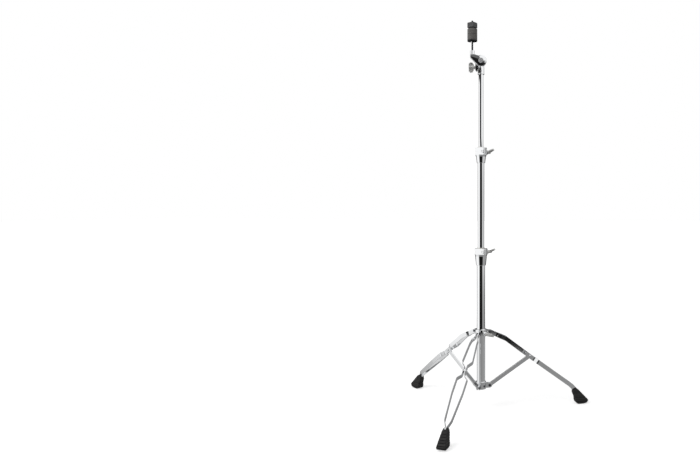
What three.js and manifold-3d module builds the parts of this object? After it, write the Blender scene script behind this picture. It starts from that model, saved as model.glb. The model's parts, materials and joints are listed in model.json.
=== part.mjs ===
// Straight cymbal stand: a column of three telescoping tubes on three folding strip legs,
// with a cymbal tilter on top. Millimetres, +Z up. The floor is z = 0, the front leg points
// along -Y, and the origin is the centre of the footprint.

import * as THREE from "three";
import { mergeVertices } from "three/addons/utils/BufferGeometryUtils.js";
import Module from "manifold-3d";

// Fits and facets
const CLEARANCE = 0.3;
const OVERRUN = 1;
const ROUND_SIDES = 28;
const SMALL_SIDES = 14;
const HEX_SIDES = 6;
const ARC_STEPS = 6;

// Tubes: each slides in the one below it
const BASE_TUBE_DIAMETER = 28.6;
const MIDDLE_TUBE_DIAMETER = 22.2;
const UPPER_TUBE_DIAMETER = 15.9;
const TUBE_WALL = 1.5;
const BASE_TUBE_LENGTH = 448.6;
const MIDDLE_TUBE_LENGTH = 505;
const UPPER_TUBE_LENGTH = 460;
const MIDDLE_TUBE_DRAWN_OUT = 336;
const UPPER_TUBE_DRAWN_OUT = 299.5;

// Leg linkage: hub pivots above, collar pivots below, and a joint halfway between them
const LEG_COUNT = 3;
const HUB_PIVOT_HEIGHT = 265;
const COLLAR_PIVOT_HEIGHT = 84;
const PIVOT_REACH = 29.5;
const BRACE_JOINT_REACH = 171;
const LEG_REACH = 382;
const PIN_DIAMETER = 6;
const PIN_HEAD_DIAMETER = 9.5;
const PIN_HEAD_HEIGHT = 1.8;

// Leg hub, which slides on the base tube, and its wing bolt
const HUB_DIAMETER = 40;
const HUB_HEIGHT = 23;
const HUB_RING_DROP = 2;
const HUB_LUG_THICKNESS = 5;
const HUB_LUG_DIAMETER = 16;
const HUB_BOSS_DIAMETER = 14;
const HUB_BOSS_PROJECTION = 5;
const HUB_BOSS_DROP = 5;
const HUB_BOSS_DEG = 60;
const HUB_BOLT_DIAMETER = 6;
const HUB_WING_TILT_DEG = 66;
const HUB_WING_NECK = 8;

// Lower collar, fixed to the foot of the base tube
const COLLAR_DIAMETER = 34.4;
const COLLAR_HEIGHT = 25;
const COLLAR_RING_RISE = 1.5;
const COLLAR_LIP = 2;
const COLLAR_DRAIN_DIAMETER = 20;
const EAR_THICKNESS = 2.4;
const EAR_HEIGHT = 17;
const COLLAR_RIVET_DIAMETER = 5;
const COLLAR_RIVET_HEAD_DIAMETER = 8;

// Braces
const BRACE_WIDTH = 13;
const BRACE_THICKNESS = 5;

// Leg strips: a pair of flat bars on edge for each leg
const STRIP_WIDTH = 14.5;
const STRIP_THICKNESS = 2;
const SHOULDER_RUN = 62;
const SHOULDER_SLOPE_DEG = 24.5;
const HUB_STRAIGHT = 27;
const FLARE_RUN = 13;
const FLARE_HALF_GAP = 10.5;
const UPPER_BOW_HALF_GAP = 17;
const PINCH_BEFORE_JOINT = 18;
const PINCH_AFTER_JOINT = 19;
const PINCH_PLAY = 0.5;
const JOG_IN_RUN = 15;
const JOG_OUT_RUN = 12;
const LOWER_BOW_HALF_GAP = 17;
const LOWER_BOW_RUN = 56;
const ANKLE_HALF_GAP = 10.7;
const ANKLE_RUN = 22.6;
const ANKLE_SLOPE_DEG = 45;
const GRIP_RUN = 24;
const GRIP_SLOPE_DEG = 50;
const TIP_RIVET_DIAMETER = 4;
const STRIP_END_SHARES = [-0.97, -0.8, -0.5];

// Rubber feet: the side outline runs outward and up, in shares of the foot's length and height
const FOOT_LENGTH = 55;
const FOOT_HEIGHT = 54;
const FOOT_WIDTH = 26.4;
const FOOT_MOUTH_SHARES = [0.157, 0.93];
const FOOT_SIDE_SHARES = [
  [0.02, 0.88],
  [0.01, 0.73],
  [0.15, 0.44],
  [0.18, 0.18],
  [0.24, 0.06],
  [0.37, 0],
  [0.68, 0],
  [0.88, 0.07],
  [1, 0.19],
  [0.97, 0.28],
  [0.38, 0.91],
  [0.28, 0.98],
  [0.16, 1],
  [0.07, 0.96],
];
const FOOT_HALF_FRONT_SHARES = [
  [0.42, 0],
  [0.5, 0.1],
  [0.49, 0.22],
  [0.43, 0.45],
  [0.35, 0.72],
  [0.29, 0.89],
  [0.2, 1],
];

// Height clamps: a tapered skirt on the outer tube and a split head round the nylon bush
const BASE_CLAMP_SKIRT = 33.6;
const BASE_CLAMP_HEAD = 23;
const MIDDLE_CLAMP_SKIRT = 24;
const MIDDLE_CLAMP_HEAD = 28;
const SKIRT_BOTTOM_WALL = 2.8;
const SKIRT_TOP_WALL = 5.4;
const HEAD_WALL = 7.8;
const HEAD_WAIST = 1.3;
const HEAD_TAPER_HEIGHT = 3;
const BUSH_WALL = 1.5;
const BUSH_FLANGE_HEIGHT = 2;
const CLAMP_BORE_TO_BOLT = 0.8;
const CLAMP_BOLT_DIAMETER = 5;
const CLAMP_BOLT_HEAD_DIAMETER = 11;
const CLAMP_BOLT_HEAD_HEIGHT = 3.5;
const LUG_WALL = 1.8;
const LUG_HALF_LENGTH = 10;
const NEAR_FACE_WALL = 1.6;
const LUG_TOP_STEP = 1.5;
const SLIT_WIDTH = 2;
const LUG_DEG = -32;
const CLAMP_WING_TILT_DEG = 65;

// Wings: outlines in shares of depth and half span, for one half
const WING_THICKNESS = 5;
const WING_NECK = 4;
const WING_HUB_DIAMETER = 11;
const WING_DEPTH = 18.5;
const WING_HALF_SPAN = 17;
const CLAMP_WING_HALF_SPAN = 22;
const CLAMP_WING_DEPTH = 16;
const WING_HALF_OUTLINE_SHARES = [
  [0.04, 0.3],
  [0.08, 0.6],
  [0.3, 0.96],
  [0.7, 1],
  [0.96, 0.76],
  [1, 0.3],
];

// Tilter, in the plane that faces the viewer; its places are measured from the pivot
const FACING_DEG = 17.4;
const PIVOT_ABOVE_TUBE = 21.7;
const ARM_THICKNESS = 10;
const ARM_DISC_DIAMETER = 38;
const ARM_LEFT_BOTTOM = 10.5;
const ARM_TOP_SLOPE_RUN = 15;
const ROD_OFFSET = 29.3;
const ROD_FORWARD = 2.5;
const ROD_DIAMETER = 6;
const ROD_BOSS_DIAMETER = 15;
const ROD_BOSS_TOP = 34.5;
const ROD_SOCKET_DEPTH = 13;
const FRICTION_DISC_THICKNESS = 1;
const FRICTION_DISC_DIAMETER = 32;
const CHEEK_THICKNESS = 8;
const CHEEK_DIAMETER = 36;
const FERRULE_DIAMETER = 21.5;
const FERRULE_HEIGHT = 26.4;
const FERRULE_RIM = 0.8;
const FERRULE_RIM_HEIGHT = 2;
const SET_SCREW_DIAMETER = 5;
const SET_SCREW_HEIGHT_SHARE = 0.4;
const TILTER_LUG_REACH = 19.3;
const TILTER_LUG_DROP = 34;
const TILTER_LUG_TIP = 5;
const TILTER_SCREW_DROP = 20.8;
const TILTER_SCREW_DIAMETER = 6;
const TILTER_SCREW_DEPTH = 8;
const PIVOT_BOLT_DIAMETER = 8;
const PIVOT_BOLT_HEAD_DIAMETER = 17.3;
const PIVOT_BOLT_HEAD_HEIGHT = 3;
const PIVOT_NUT_ACROSS_CORNERS = 15;
const PIVOT_NUT_HEIGHT = 6;

// Cymbal seat on the rod
const SEAT_ABOVE_BOSS = 31.4;
const CUP_DIAMETER = 33.6;
const CUP_THICKNESS = 3.5;
const CUP_NOTCH_WIDTH = 5.3;
const CUP_NOTCH_DEPTH = 7;
const CUP_NOTCH_DEG = 102;
const SLEEVE_WALL = 1.8;
const FELT_DIAMETER = 34;
const FELT_HEIGHT = 19;
const FELT_SHOULDER = 2.4;
const FELT_PRESSED_SHOULDER = 0.9;
const NUT_NECK_DIAMETER = 17;
const NUT_NECK_HEIGHT = 3;
const NUT_WIDTH = 25.6;
const NUT_CORNER = 3;
const NUT_HEIGHT = 17;
const NUT_CROWN = 0.5;
const NUT_TURN_DEG = 54;
const INSERT_WALL = 2;
const INSERT_RECESS = 0.5;
const ROD_TIP_ABOVE_NUT = 6.9;

const wasm = await Module();
wasm.setup();

const chrome = new THREE.MeshStandardMaterial({ color: 0xdfe2e4, metalness: 1, roughness: 0.12 });
const castMetal = new THREE.MeshStandardMaterial({ color: 0xa9abab, metalness: 1, roughness: 0.35 });
const darkSteel = new THREE.MeshStandardMaterial({ color: 0x5c5c5c, metalness: 1, roughness: 0.4 });
const blackPlastic = new THREE.MeshStandardMaterial({ color: 0x262627, metalness: 0, roughness: 0.5 });
const rubber = new THREE.MeshStandardMaterial({ color: 0x232323, metalness: 0, roughness: 0.75 });
const felt = new THREE.MeshStandardMaterial({ color: 0x565452, metalness: 0, roughness: 1 });
const nylon = new THREE.MeshStandardMaterial({ color: 0xe8e8e4, metalness: 0, roughness: 0.5 });
const brass = new THREE.MeshStandardMaterial({ color: 0xb08d4f, metalness: 1, roughness: 0.35 });

const radians = THREE.MathUtils.degToRad;

// Reads a closed geometry as a solid that can be joined and cut.
function solidOf(geometry) {
  const bare = geometry.clone();
  bare.deleteAttribute("normal");
  bare.deleteAttribute("uv");
  const merged = mergeVertices(bare);
  const mesh = new wasm.Mesh({
    numProp: 3,
    vertProperties: merged.attributes.position.array,
    triVerts: new Uint32Array(merged.index.array),
  });
  return new wasm.Manifold(mesh);
}

// Reads a solid back as a geometry.
function geometryOf(solid) {
  const { vertProperties, triVerts } = solid.getMesh();
  const geometry = new THREE.BufferGeometry();
  geometry.setAttribute("position", new THREE.BufferAttribute(vertProperties, 3));
  geometry.setIndex(new THREE.BufferAttribute(triVerts, 1));
  geometry.computeVertexNormals();
  return geometry;
}

function join(first, ...others) {
  return geometryOf(others.reduce((solid, other) => solid.add(solidOf(other)), solidOf(first)));
}

function cut(first, ...cutters) {
  return geometryOf(cutters.reduce((solid, cutter) => solid.subtract(solidOf(cutter)), solidOf(first)));
}

function common(first, second) {
  return geometryOf(solidOf(first).intersect(solidOf(second)));
}

// Turns a closed profile of [radius, height] points round the Z axis.
function turned(profile, sides = ROUND_SIDES) {
  const points = profile.map(([radius, height]) => new THREE.Vector2(radius, height));
  return new THREE.LatheGeometry(points, sides).rotateX(Math.PI / 2);
}

function ring(outer, inner, height, sides = ROUND_SIDES) {
  const profile = [
    [inner, 0],
    [outer, 0],
    [outer, height],
    [inner, height],
    [inner, 0],
  ];
  return turned(profile, sides);
}

function rod(radius, height, sides = SMALL_SIDES) {
  const geometry = new THREE.CylinderGeometry(radius, radius, height, sides);
  return geometry.rotateX(Math.PI / 2).translate(0, 0, height / 2);
}

// A rod with its axis along Y, from the lower to the upper y.
function crossRod(radius, from, to, sides = SMALL_SIDES) {
  return rod(radius, to - from, sides).rotateX(-Math.PI / 2).translate(0, from, 0);
}

// A rod with its axis along X, from the lower to the upper x.
function lengthRod(radius, from, to, sides = SMALL_SIDES) {
  return rod(radius, to - from, sides).rotateY(Math.PI / 2).translate(from, 0, 0);
}

function block(from, to) {
  const size = to.map((value, axis) => value - from[axis]);
  const centre = to.map((value, axis) => (value + from[axis]) / 2);
  return new THREE.BoxGeometry(...size).translate(...centre);
}

function outline(points) {
  return new THREE.Shape(points.map(([x, y]) => new THREE.Vector2(x, y)));
}

// A plate upright in the XZ plane, between two values of y.
function uprightPlate(shape, from, to) {
  const settings = { depth: to - from, bevelEnabled: false, curveSegments: ARC_STEPS };
  return new THREE.ExtrudeGeometry(shape, settings).rotateX(Math.PI / 2).translate(0, to, 0);
}

// A plate lying in the XY plane, from z = 0 up.
function flatPlate(shape, height) {
  const settings = { depth: height, bevelEnabled: false, curveSegments: ARC_STEPS };
  return new THREE.ExtrudeGeometry(shape, settings);
}

function piece(name, geometry, material) {
  const mesh = new THREE.Mesh(geometry, material);
  mesh.name = name;
  return mesh;
}

function at(mesh, x, y, z) {
  mesh.position.set(x, y, z);
  return mesh;
}

// Places that follow from the sizes above
const footHeelReach = LEG_REACH - FOOT_LENGTH;
const collarBottom = COLLAR_PIVOT_HEIGHT + COLLAR_RING_RISE - COLLAR_HEIGHT / 2;
const baseTubeBottom = collarBottom + COLLAR_LIP + CLEARANCE;
const baseTubeTop = baseTubeBottom + BASE_TUBE_LENGTH;
const middleTubeTop = baseTubeTop + MIDDLE_TUBE_DRAWN_OUT;
const upperTubeTop = middleTubeTop + UPPER_TUBE_DRAWN_OUT;
const tilterHeight = upperTubeTop + PIVOT_ABOVE_TUBE;

function tube(name, diameter, length, top) {
  const radius = diameter / 2;
  return at(piece(name, ring(radius, radius - TUBE_WALL, length), chrome), 0, 0, top - length);
}

// A turned pin along Y with a head at each end, centred on its axis point.
function headedPin(halfGrip, shankDiameter, headDiameter) {
  const shank = crossRod(shankDiameter / 2, -halfGrip, halfGrip);
  const near = crossRod(headDiameter / 2, -halfGrip - PIN_HEAD_HEIGHT, -halfGrip);
  const far = crossRod(headDiameter / 2, halfGrip, halfGrip + PIN_HEAD_HEIGHT);
  return join(shank, near, far);
}

// Outline of a lug or an eye that reaches from the tube to a rounded end round its pivot.
function lugOutline(root, reach, height) {
  const shape = new THREE.Shape();
  shape.moveTo(root, -height / 2);
  shape.lineTo(reach, -height / 2);
  shape.absarc(reach, 0, height / 2, -Math.PI / 2, Math.PI / 2, false);
  shape.lineTo(root, height / 2);
  return shape;
}

// Wings of a wing screw or wing nut: the axis is X, the wings stand up and down, and x = 0 is the seat.
function wings(neck, depth, halfSpan) {
  const upper = WING_HALF_OUTLINE_SHARES.map(([x, z]) => [neck + depth * x, halfSpan * z]);
  const lower = upper.map(([x, z]) => [x, -z]).reverse();
  const halfThickness = WING_THICKNESS / 2;
  const blade = uprightPlate(outline([...lower, ...upper]), -halfThickness, halfThickness);
  const hub = lengthRod(WING_HUB_DIAMETER / 2, 0, neck + depth);
  return join(blade, hub);
}

// The hub's bolt and the collar's rivet point forward and to the right, between two legs.
const bossTurn = radians(HUB_BOSS_DEG) - Math.PI / 2;

// Leg hub: a ring round the base tube with three lugs and the boss of its wing bolt.
function legHub() {
  const bottom = -HUB_HEIGHT / 2 - HUB_RING_DROP;
  const boreRadius = BASE_TUBE_DIAMETER / 2 + CLEARANCE;
  const ringBody = rod(HUB_DIAMETER / 2, HUB_HEIGHT, ROUND_SIDES).translate(0, 0, bottom);
  const boss = lengthRod(HUB_BOSS_DIAMETER / 2, boreRadius, HUB_DIAMETER / 2 + HUB_BOSS_PROJECTION);
  const additions = [boss.rotateZ(bossTurn).translate(0, 0, -HUB_BOSS_DROP)];
  const cutters = [rod(boreRadius, HUB_HEIGHT + OVERRUN * 2, ROUND_SIDES).translate(0, 0, bottom - OVERRUN)];
  for (let leg = 0; leg < LEG_COUNT; leg++) {
    const turn = legTurn(leg);
    const lugShape = lugOutline(boreRadius, PIVOT_REACH, HUB_LUG_DIAMETER);
    const halfLug = HUB_LUG_THICKNESS / 2;
    additions.push(uprightPlate(lugShape, -halfLug, halfLug).rotateZ(turn));
    const hole = crossRod(PIN_DIAMETER / 2 + CLEARANCE, -halfLug - OVERRUN, halfLug + OVERRUN);
    cutters.push(hole.translate(PIVOT_REACH, 0, 0).rotateZ(turn));
  }
  const boltHole = lengthRod(HUB_BOLT_DIAMETER / 2 + CLEARANCE, 0, HUB_DIAMETER);
  cutters.push(boltHole.rotateZ(bossTurn).translate(0, 0, -HUB_BOSS_DROP));
  return cut(join(ringBody, ...additions), ...cutters);
}

// The front leg comes first, then the right and the left one.
function legTurn(leg) {
  return radians(-90) + (leg * Math.PI * 2) / LEG_COUNT;
}

function hubWingBolt() {
  const tip = BASE_TUBE_DIAMETER / 2 + CLEARANCE;
  const seat = HUB_DIAMETER / 2 + HUB_BOSS_PROJECTION + CLEARANCE;
  const head = wings(HUB_WING_NECK, WING_DEPTH, WING_HALF_SPAN).rotateX(radians(HUB_WING_TILT_DEG));
  const bolt = join(lengthRod(HUB_BOLT_DIAMETER / 2, tip, seat + HUB_WING_NECK), head.translate(seat, 0, 0));
  return bolt.rotateZ(bossTurn);
}

const earGap = BRACE_THICKNESS / 2 + CLEARANCE;
const earOutside = earGap + EAR_THICKNESS;

// Lower collar: a cup round the foot of the base tube with a pair of ears for each brace.
function lowerCollar() {
  const bottom = COLLAR_RING_RISE - COLLAR_HEIGHT / 2;
  const bore = BASE_TUBE_DIAMETER / 2 + CLEARANCE;
  const drain = COLLAR_DRAIN_DIAMETER / 2;
  const profile = [
    [drain, bottom],
    [COLLAR_DIAMETER / 2, bottom],
    [COLLAR_DIAMETER / 2, bottom + COLLAR_HEIGHT],
    [bore, bottom + COLLAR_HEIGHT],
    [bore, bottom + COLLAR_LIP],
    [drain, bottom + COLLAR_LIP],
    [drain, bottom],
  ];
  const ears = [];
  const cutters = [rod(bore, COLLAR_HEIGHT, ROUND_SIDES).translate(0, 0, bottom + COLLAR_LIP)];
  for (let leg = 0; leg < LEG_COUNT; leg++) {
    const turn = legTurn(leg);
    for (const inside of [-earOutside, earGap]) {
      const ear = uprightPlate(lugOutline(bore, PIVOT_REACH, EAR_HEIGHT), inside, inside + EAR_THICKNESS);
      ears.push(ear.rotateZ(turn));
    }
    const hole = crossRod(PIN_DIAMETER / 2 + CLEARANCE, -earOutside - OVERRUN, earOutside + OVERRUN);
    cutters.push(hole.translate(PIVOT_REACH, 0, 0).rotateZ(turn));
  }
  const rivetHole = lengthRod(COLLAR_RIVET_DIAMETER / 2 + CLEARANCE, bore - OVERRUN, COLLAR_DIAMETER);
  cutters.push(rivetHole.rotateZ(bossTurn));
  return cut(join(turned(profile), ...ears), ...cutters);
}

function collarRivet() {
  const bore = BASE_TUBE_DIAMETER / 2 + CLEARANCE;
  const seat = COLLAR_DIAMETER / 2 + CLEARANCE;
  const shank = lengthRod(COLLAR_RIVET_DIAMETER / 2, bore, seat + PIN_HEAD_HEIGHT);
  const head = lengthRod(COLLAR_RIVET_HEAD_DIAMETER / 2, seat, seat + PIN_HEAD_HEIGHT);
  return join(shank, head).rotateZ(bossTurn);
}

const jointHeight = (HUB_PIVOT_HEIGHT + COLLAR_PIVOT_HEIGHT) / 2;
const braceDrop = jointHeight - COLLAR_PIVOT_HEIGHT;
const braceLength = Math.hypot(BRACE_JOINT_REACH - PIVOT_REACH, braceDrop);

// Brace: a flat bar with an eye at each end, from the collar pivot to the leg joint.
function brace() {
  const radius = BRACE_WIDTH / 2;
  const shape = new THREE.Shape();
  shape.absarc(0, 0, radius, Math.PI / 2, Math.PI * 1.5, false);
  shape.absarc(braceLength, 0, radius, -Math.PI / 2, Math.PI / 2, false);
  for (const end of [0, braceLength]) {
    const eye = new THREE.Path();
    eye.absarc(end, 0, PIN_DIAMETER / 2 + CLEARANCE, 0, Math.PI * 2, true);
    shape.holes.push(eye);
  }
  const bar = uprightPlate(shape, -BRACE_THICKNESS / 2, BRACE_THICKNESS / 2);
  return bar.rotateY(-Math.atan2(braceDrop, BRACE_JOINT_REACH - PIVOT_REACH));
}

const hubHalfGap = HUB_LUG_THICKNESS / 2 + CLEARANCE + STRIP_THICKNESS / 2;
const pinchHalfGap = BRACE_THICKNESS / 2 + PINCH_PLAY + STRIP_THICKNESS / 2;
const gripHalfGap = CLEARANCE / 2 + STRIP_THICKNESS / 2;

// Points [reach, height] that a leg's centre line runs through, from the hub pivot to the end in the foot.
function legPoints() {
  const mouth = [
    footHeelReach + FOOT_LENGTH * FOOT_MOUTH_SHARES[0],
    FOOT_HEIGHT * FOOT_MOUTH_SHARES[1],
  ];
  const step = ([reach, height], run, slope) => [
    reach + run * Math.cos(radians(slope)),
    height - run * Math.sin(radians(slope)),
  ];
  const pivot = [PIVOT_REACH, HUB_PIVOT_HEIGHT];
  return [
    pivot,
    step(pivot, SHOULDER_RUN, SHOULDER_SLOPE_DEG),
    [BRACE_JOINT_REACH, jointHeight],
    step(mouth, -ANKLE_RUN, ANKLE_SLOPE_DEG),
    mouth,
    step(mouth, GRIP_RUN, GRIP_SLOPE_DEG),
  ];
}

const legLine = legPoints();
const legDistances = legLine.reduce((all, [reach, height], index) => {
  const [lastReach, lastHeight] = legLine[Math.max(index - 1, 0)];
  return [...all, (all[index - 1] ?? 0) + Math.hypot(reach - lastReach, height - lastHeight)];
}, []);

// Value at a distance in a table of [distance, value], straight between its rows and past its ends.
function between(table, distance) {
  const last = table.length - 2;
  const found = table.findIndex(([, ], index) => index <= last && distance <= table[index + 1][0]);
  const row = found < 0 ? last : found;
  const [from, low] = table[row];
  const [to, high] = table[row + 1];
  return low + ((high - low) * (distance - from)) / (to - from);
}

const reachTable = legLine.map(([reach], index) => [legDistances[index], reach]);
const heightTable = legLine.map(([, height], index) => [legDistances[index], height]);

// Table of [distance, half gap] along a leg.
function gapTable() {
  const [, , joint, ankle, mouth, end] = legDistances;
  return [
    [0, hubHalfGap],
    [HUB_STRAIGHT, hubHalfGap],
    [HUB_STRAIGHT + FLARE_RUN, FLARE_HALF_GAP],
    [joint - PINCH_BEFORE_JOINT - JOG_IN_RUN, UPPER_BOW_HALF_GAP],
    [joint - PINCH_BEFORE_JOINT, pinchHalfGap],
    [joint + PINCH_AFTER_JOINT, pinchHalfGap],
    [joint + PINCH_AFTER_JOINT + JOG_OUT_RUN, LOWER_BOW_HALF_GAP],
    [joint + PINCH_AFTER_JOINT + JOG_OUT_RUN + LOWER_BOW_RUN, LOWER_BOW_HALF_GAP],
    [ankle, ANKLE_HALF_GAP],
    [mouth, gripHalfGap],
    [end, gripHalfGap],
  ];
}

const gaps = gapTable();

// Closes a run of four-cornered sections into one solid skin.
function loft(sections) {
  const corners = sections.flat();
  const positions = corners.flatMap((corner) => [corner.x, corner.y, corner.z]);
  const sides = sections[0].length;
  const index = [];
  for (let row = 0; row < sections.length - 1; row++) {
    for (let side = 0; side < sides; side++) {
      const next = (side + 1) % sides;
      const here = row * sides;
      const there = here + sides;
      index.push(here + side, here + next, there + next, here + side, there + next, there + side);
    }
  }
  const far = (sections.length - 1) * sides;
  index.push(0, 2, 1, 0, 3, 2);
  index.push(far, far + 1, far + 2, far, far + 2, far + 3);
  const geometry = new THREE.BufferGeometry();
  geometry.setAttribute("position", new THREE.Float32BufferAttribute(positions, 3));
  geometry.setIndex(index);
  return geometry;
}

// Centre of a strip at a distance along the leg; side is -1 or 1.
function stripCentre(distance, side) {
  const gap = between(gaps, Math.max(distance, 0));
  return new THREE.Vector3(between(reachTable, distance), side * gap, between(heightTable, distance));
}

// One leg strip, in the leg's plane: x is the reach and y is across the leg.
function legStrip(side) {
  const halfWidth = STRIP_WIDTH / 2;
  const rounding = STRIP_END_SHARES.map((share) => share * halfWidth);
  const marks = [...rounding, ...gaps.map(([distance]) => distance), ...legDistances];
  const distances = [...new Set(marks)].sort((a, b) => a - b);
  const centres = distances.map((distance) => stripCentre(distance, side));
  const sections = centres.map((centre, index) => {
    const before = centres[Math.max(index - 1, 0)];
    const after = centres[Math.min(index + 1, centres.length - 1)];
    const arriving = centre.clone().sub(before).normalize();
    const leaving = after.clone().sub(centre).normalize();
    const along = arriving.clone().add(leaving).normalize();
    const bend = arriving.lengthSq() && leaving.lengthSq() ? arriving.dot(leaving) : 1;
    const mitre = 1 / Math.sqrt((1 + bend) / 2);
    const wide = new THREE.Vector3(-along.z, 0, along.x).normalize();
    const thick = new THREE.Vector3().crossVectors(wide, along).normalize();
    const short = Math.min(distances[index], 0) / halfWidth;
    const up = wide.multiplyScalar(halfWidth * Math.sqrt(1 - short * short));
    const out = thick.multiplyScalar((STRIP_THICKNESS / 2) * mitre);
    return [
      centre.clone().add(up).add(out),
      centre.clone().add(up).sub(out),
      centre.clone().sub(up).sub(out),
      centre.clone().sub(up).add(out),
    ];
  });
  const across = (radius, [reach, height]) => {
    return crossRod(radius, -UPPER_BOW_HALF_GAP, UPPER_BOW_HALF_GAP).translate(reach, 0, height);
  };
  const pinHole = PIN_DIAMETER / 2 + CLEARANCE;
  return cut(
    loft(sections),
    across(pinHole, legLine[0]),
    across(pinHole, legLine[2]),
    across(TIP_RIVET_DIAMETER / 2 + CLEARANCE, tipRivetPlace()),
  );
}

function tipRivetPlace() {
  const distance = legDistances[4] + GRIP_RUN / 2;
  return [between(reachTable, distance), between(heightTable, distance)];
}

// Rivet at the brace joint: its shank fills the hole of one strip and its head is outside.
function jointRivet(side) {
  const inside = pinchHalfGap - STRIP_THICKNESS / 2;
  const seat = pinchHalfGap + STRIP_THICKNESS / 2 + CLEARANCE;
  const shank = crossRod(PIN_DIAMETER / 2, inside, seat + PIN_HEAD_HEIGHT);
  const head = crossRod(PIN_HEAD_DIAMETER / 2, seat, seat + PIN_HEAD_HEIGHT);
  const rivet = join(shank, head);
  return side > 0 ? rivet : rivet.rotateZ(Math.PI);
}

function tipRivet() {
  const reach = gripHalfGap + STRIP_THICKNESS / 2;
  return crossRod(TIP_RIVET_DIAMETER / 2, -reach, reach);
}

// Rubber foot: its side and front outlines meet in one body, with a pocket for the strip ends.
function foot() {
  const side = FOOT_SIDE_SHARES.map(([x, z]) => [footHeelReach + FOOT_LENGTH * x, FOOT_HEIGHT * z]);
  const right = FOOT_HALF_FRONT_SHARES.map(([y, z]) => [FOOT_WIDTH * y, FOOT_HEIGHT * z]);
  const left = right.map(([y, z]) => [-y, z]).reverse();
  const sideBody = uprightPlate(outline(side), -FOOT_WIDTH, FOOT_WIDTH);
  const reach = footHeelReach + FOOT_LENGTH / 2;
  const frontBody = uprightPlate(outline([...right, ...left]), -FOOT_LENGTH, FOOT_LENGTH);
  const body = common(sideBody, frontBody.rotateZ(Math.PI / 2).translate(reach, 0, 0));
  const halfSlot = gripHalfGap + STRIP_THICKNESS / 2 + CLEARANCE;
  const halfDepth = STRIP_WIDTH / 2 + CLEARANCE;
  const [mouthReach, mouthHeight] = legLine[4];
  const pocket = block([-OVERRUN, -halfSlot, -halfDepth], [GRIP_RUN + CLEARANCE, halfSlot, halfDepth]);
  pocket.rotateY(radians(GRIP_SLOPE_DEG)).translate(mouthReach, 0, mouthHeight);
  const throatHalf = ANKLE_HALF_GAP + STRIP_THICKNESS + CLEARANCE;
  const throat = uprightPlate(
    outline([
      [OVERRUN, -halfSlot],
      [OVERRUN, halfSlot],
      [0, halfSlot],
      [-ANKLE_RUN, throatHalf],
      [-ANKLE_RUN, -throatHalf],
      [0, -halfSlot],
    ]),
    -halfDepth,
    halfDepth,
  );
  throat.rotateX(-Math.PI / 2).rotateY(radians(ANKLE_SLOPE_DEG)).translate(mouthReach, 0, mouthHeight);
  return cut(body, pocket, throat);
}

function legGroup(leg, label) {
  const group = new THREE.Group();
  group.rotation.z = legTurn(leg);
  group.add(
    piece(label + "_leg_right_strip", legStrip(1), chrome),
    piece(label + "_leg_left_strip", legStrip(-1), chrome),
    piece(label + "_foot", foot(), rubber),
    at(piece(label + "_leg_joint_rivet_right", jointRivet(1), chrome), BRACE_JOINT_REACH, 0, jointHeight),
    at(piece(label + "_leg_joint_rivet_left", jointRivet(-1), chrome), BRACE_JOINT_REACH, 0, jointHeight),
    at(piece(label + "_brace", brace(), chrome), PIVOT_REACH, 0, COLLAR_PIVOT_HEIGHT),
  );
  const [tipReach, tipHeight] = tipRivetPlace();
  group.add(at(piece(label + "_leg_tip_rivet", tipRivet(), castMetal), tipReach, 0, tipHeight));
  const hubPin = headedPin(hubHalfGap + STRIP_THICKNESS / 2 + CLEARANCE, PIN_DIAMETER, PIN_HEAD_DIAMETER);
  group.add(at(piece(label + "_hub_pin", hubPin, chrome), PIVOT_REACH, 0, HUB_PIVOT_HEIGHT));
  const collarPin = headedPin(earOutside + CLEARANCE, PIN_DIAMETER, PIN_HEAD_DIAMETER);
  group.add(at(piece(label + "_collar_pin", collarPin, chrome), PIVOT_REACH, 0, COLLAR_PIVOT_HEIGHT));
  return group;
}

// Sizes of a height clamp that follow from the two tubes that meet in it.
function clampSizes(outerDiameter, innerDiameter, skirt, head) {
  const tubeRadius = outerDiameter / 2;
  const bushInner = innerDiameter / 2 + CLEARANCE;
  const bushOuter = bushInner + BUSH_WALL;
  const bushBore = bushOuter + CLEARANCE;
  const boltHole = CLAMP_BOLT_DIAMETER / 2 + CLEARANCE;
  const boltReach = bushBore + CLAMP_BORE_TO_BOLT + boltHole;
  const headRadius = tubeRadius + HEAD_WALL;
  const nutNeck = headRadius - LUG_HALF_LENGTH + CLEARANCE;
  const nearFace = bushBore + NEAR_FACE_WALL;
  const radii = { tubeRadius, headRadius, bushInner, bushOuter, bushBore, boltHole };
  return { ...radii, boltReach, nutNeck, nearFace, skirt, head };
}

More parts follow.
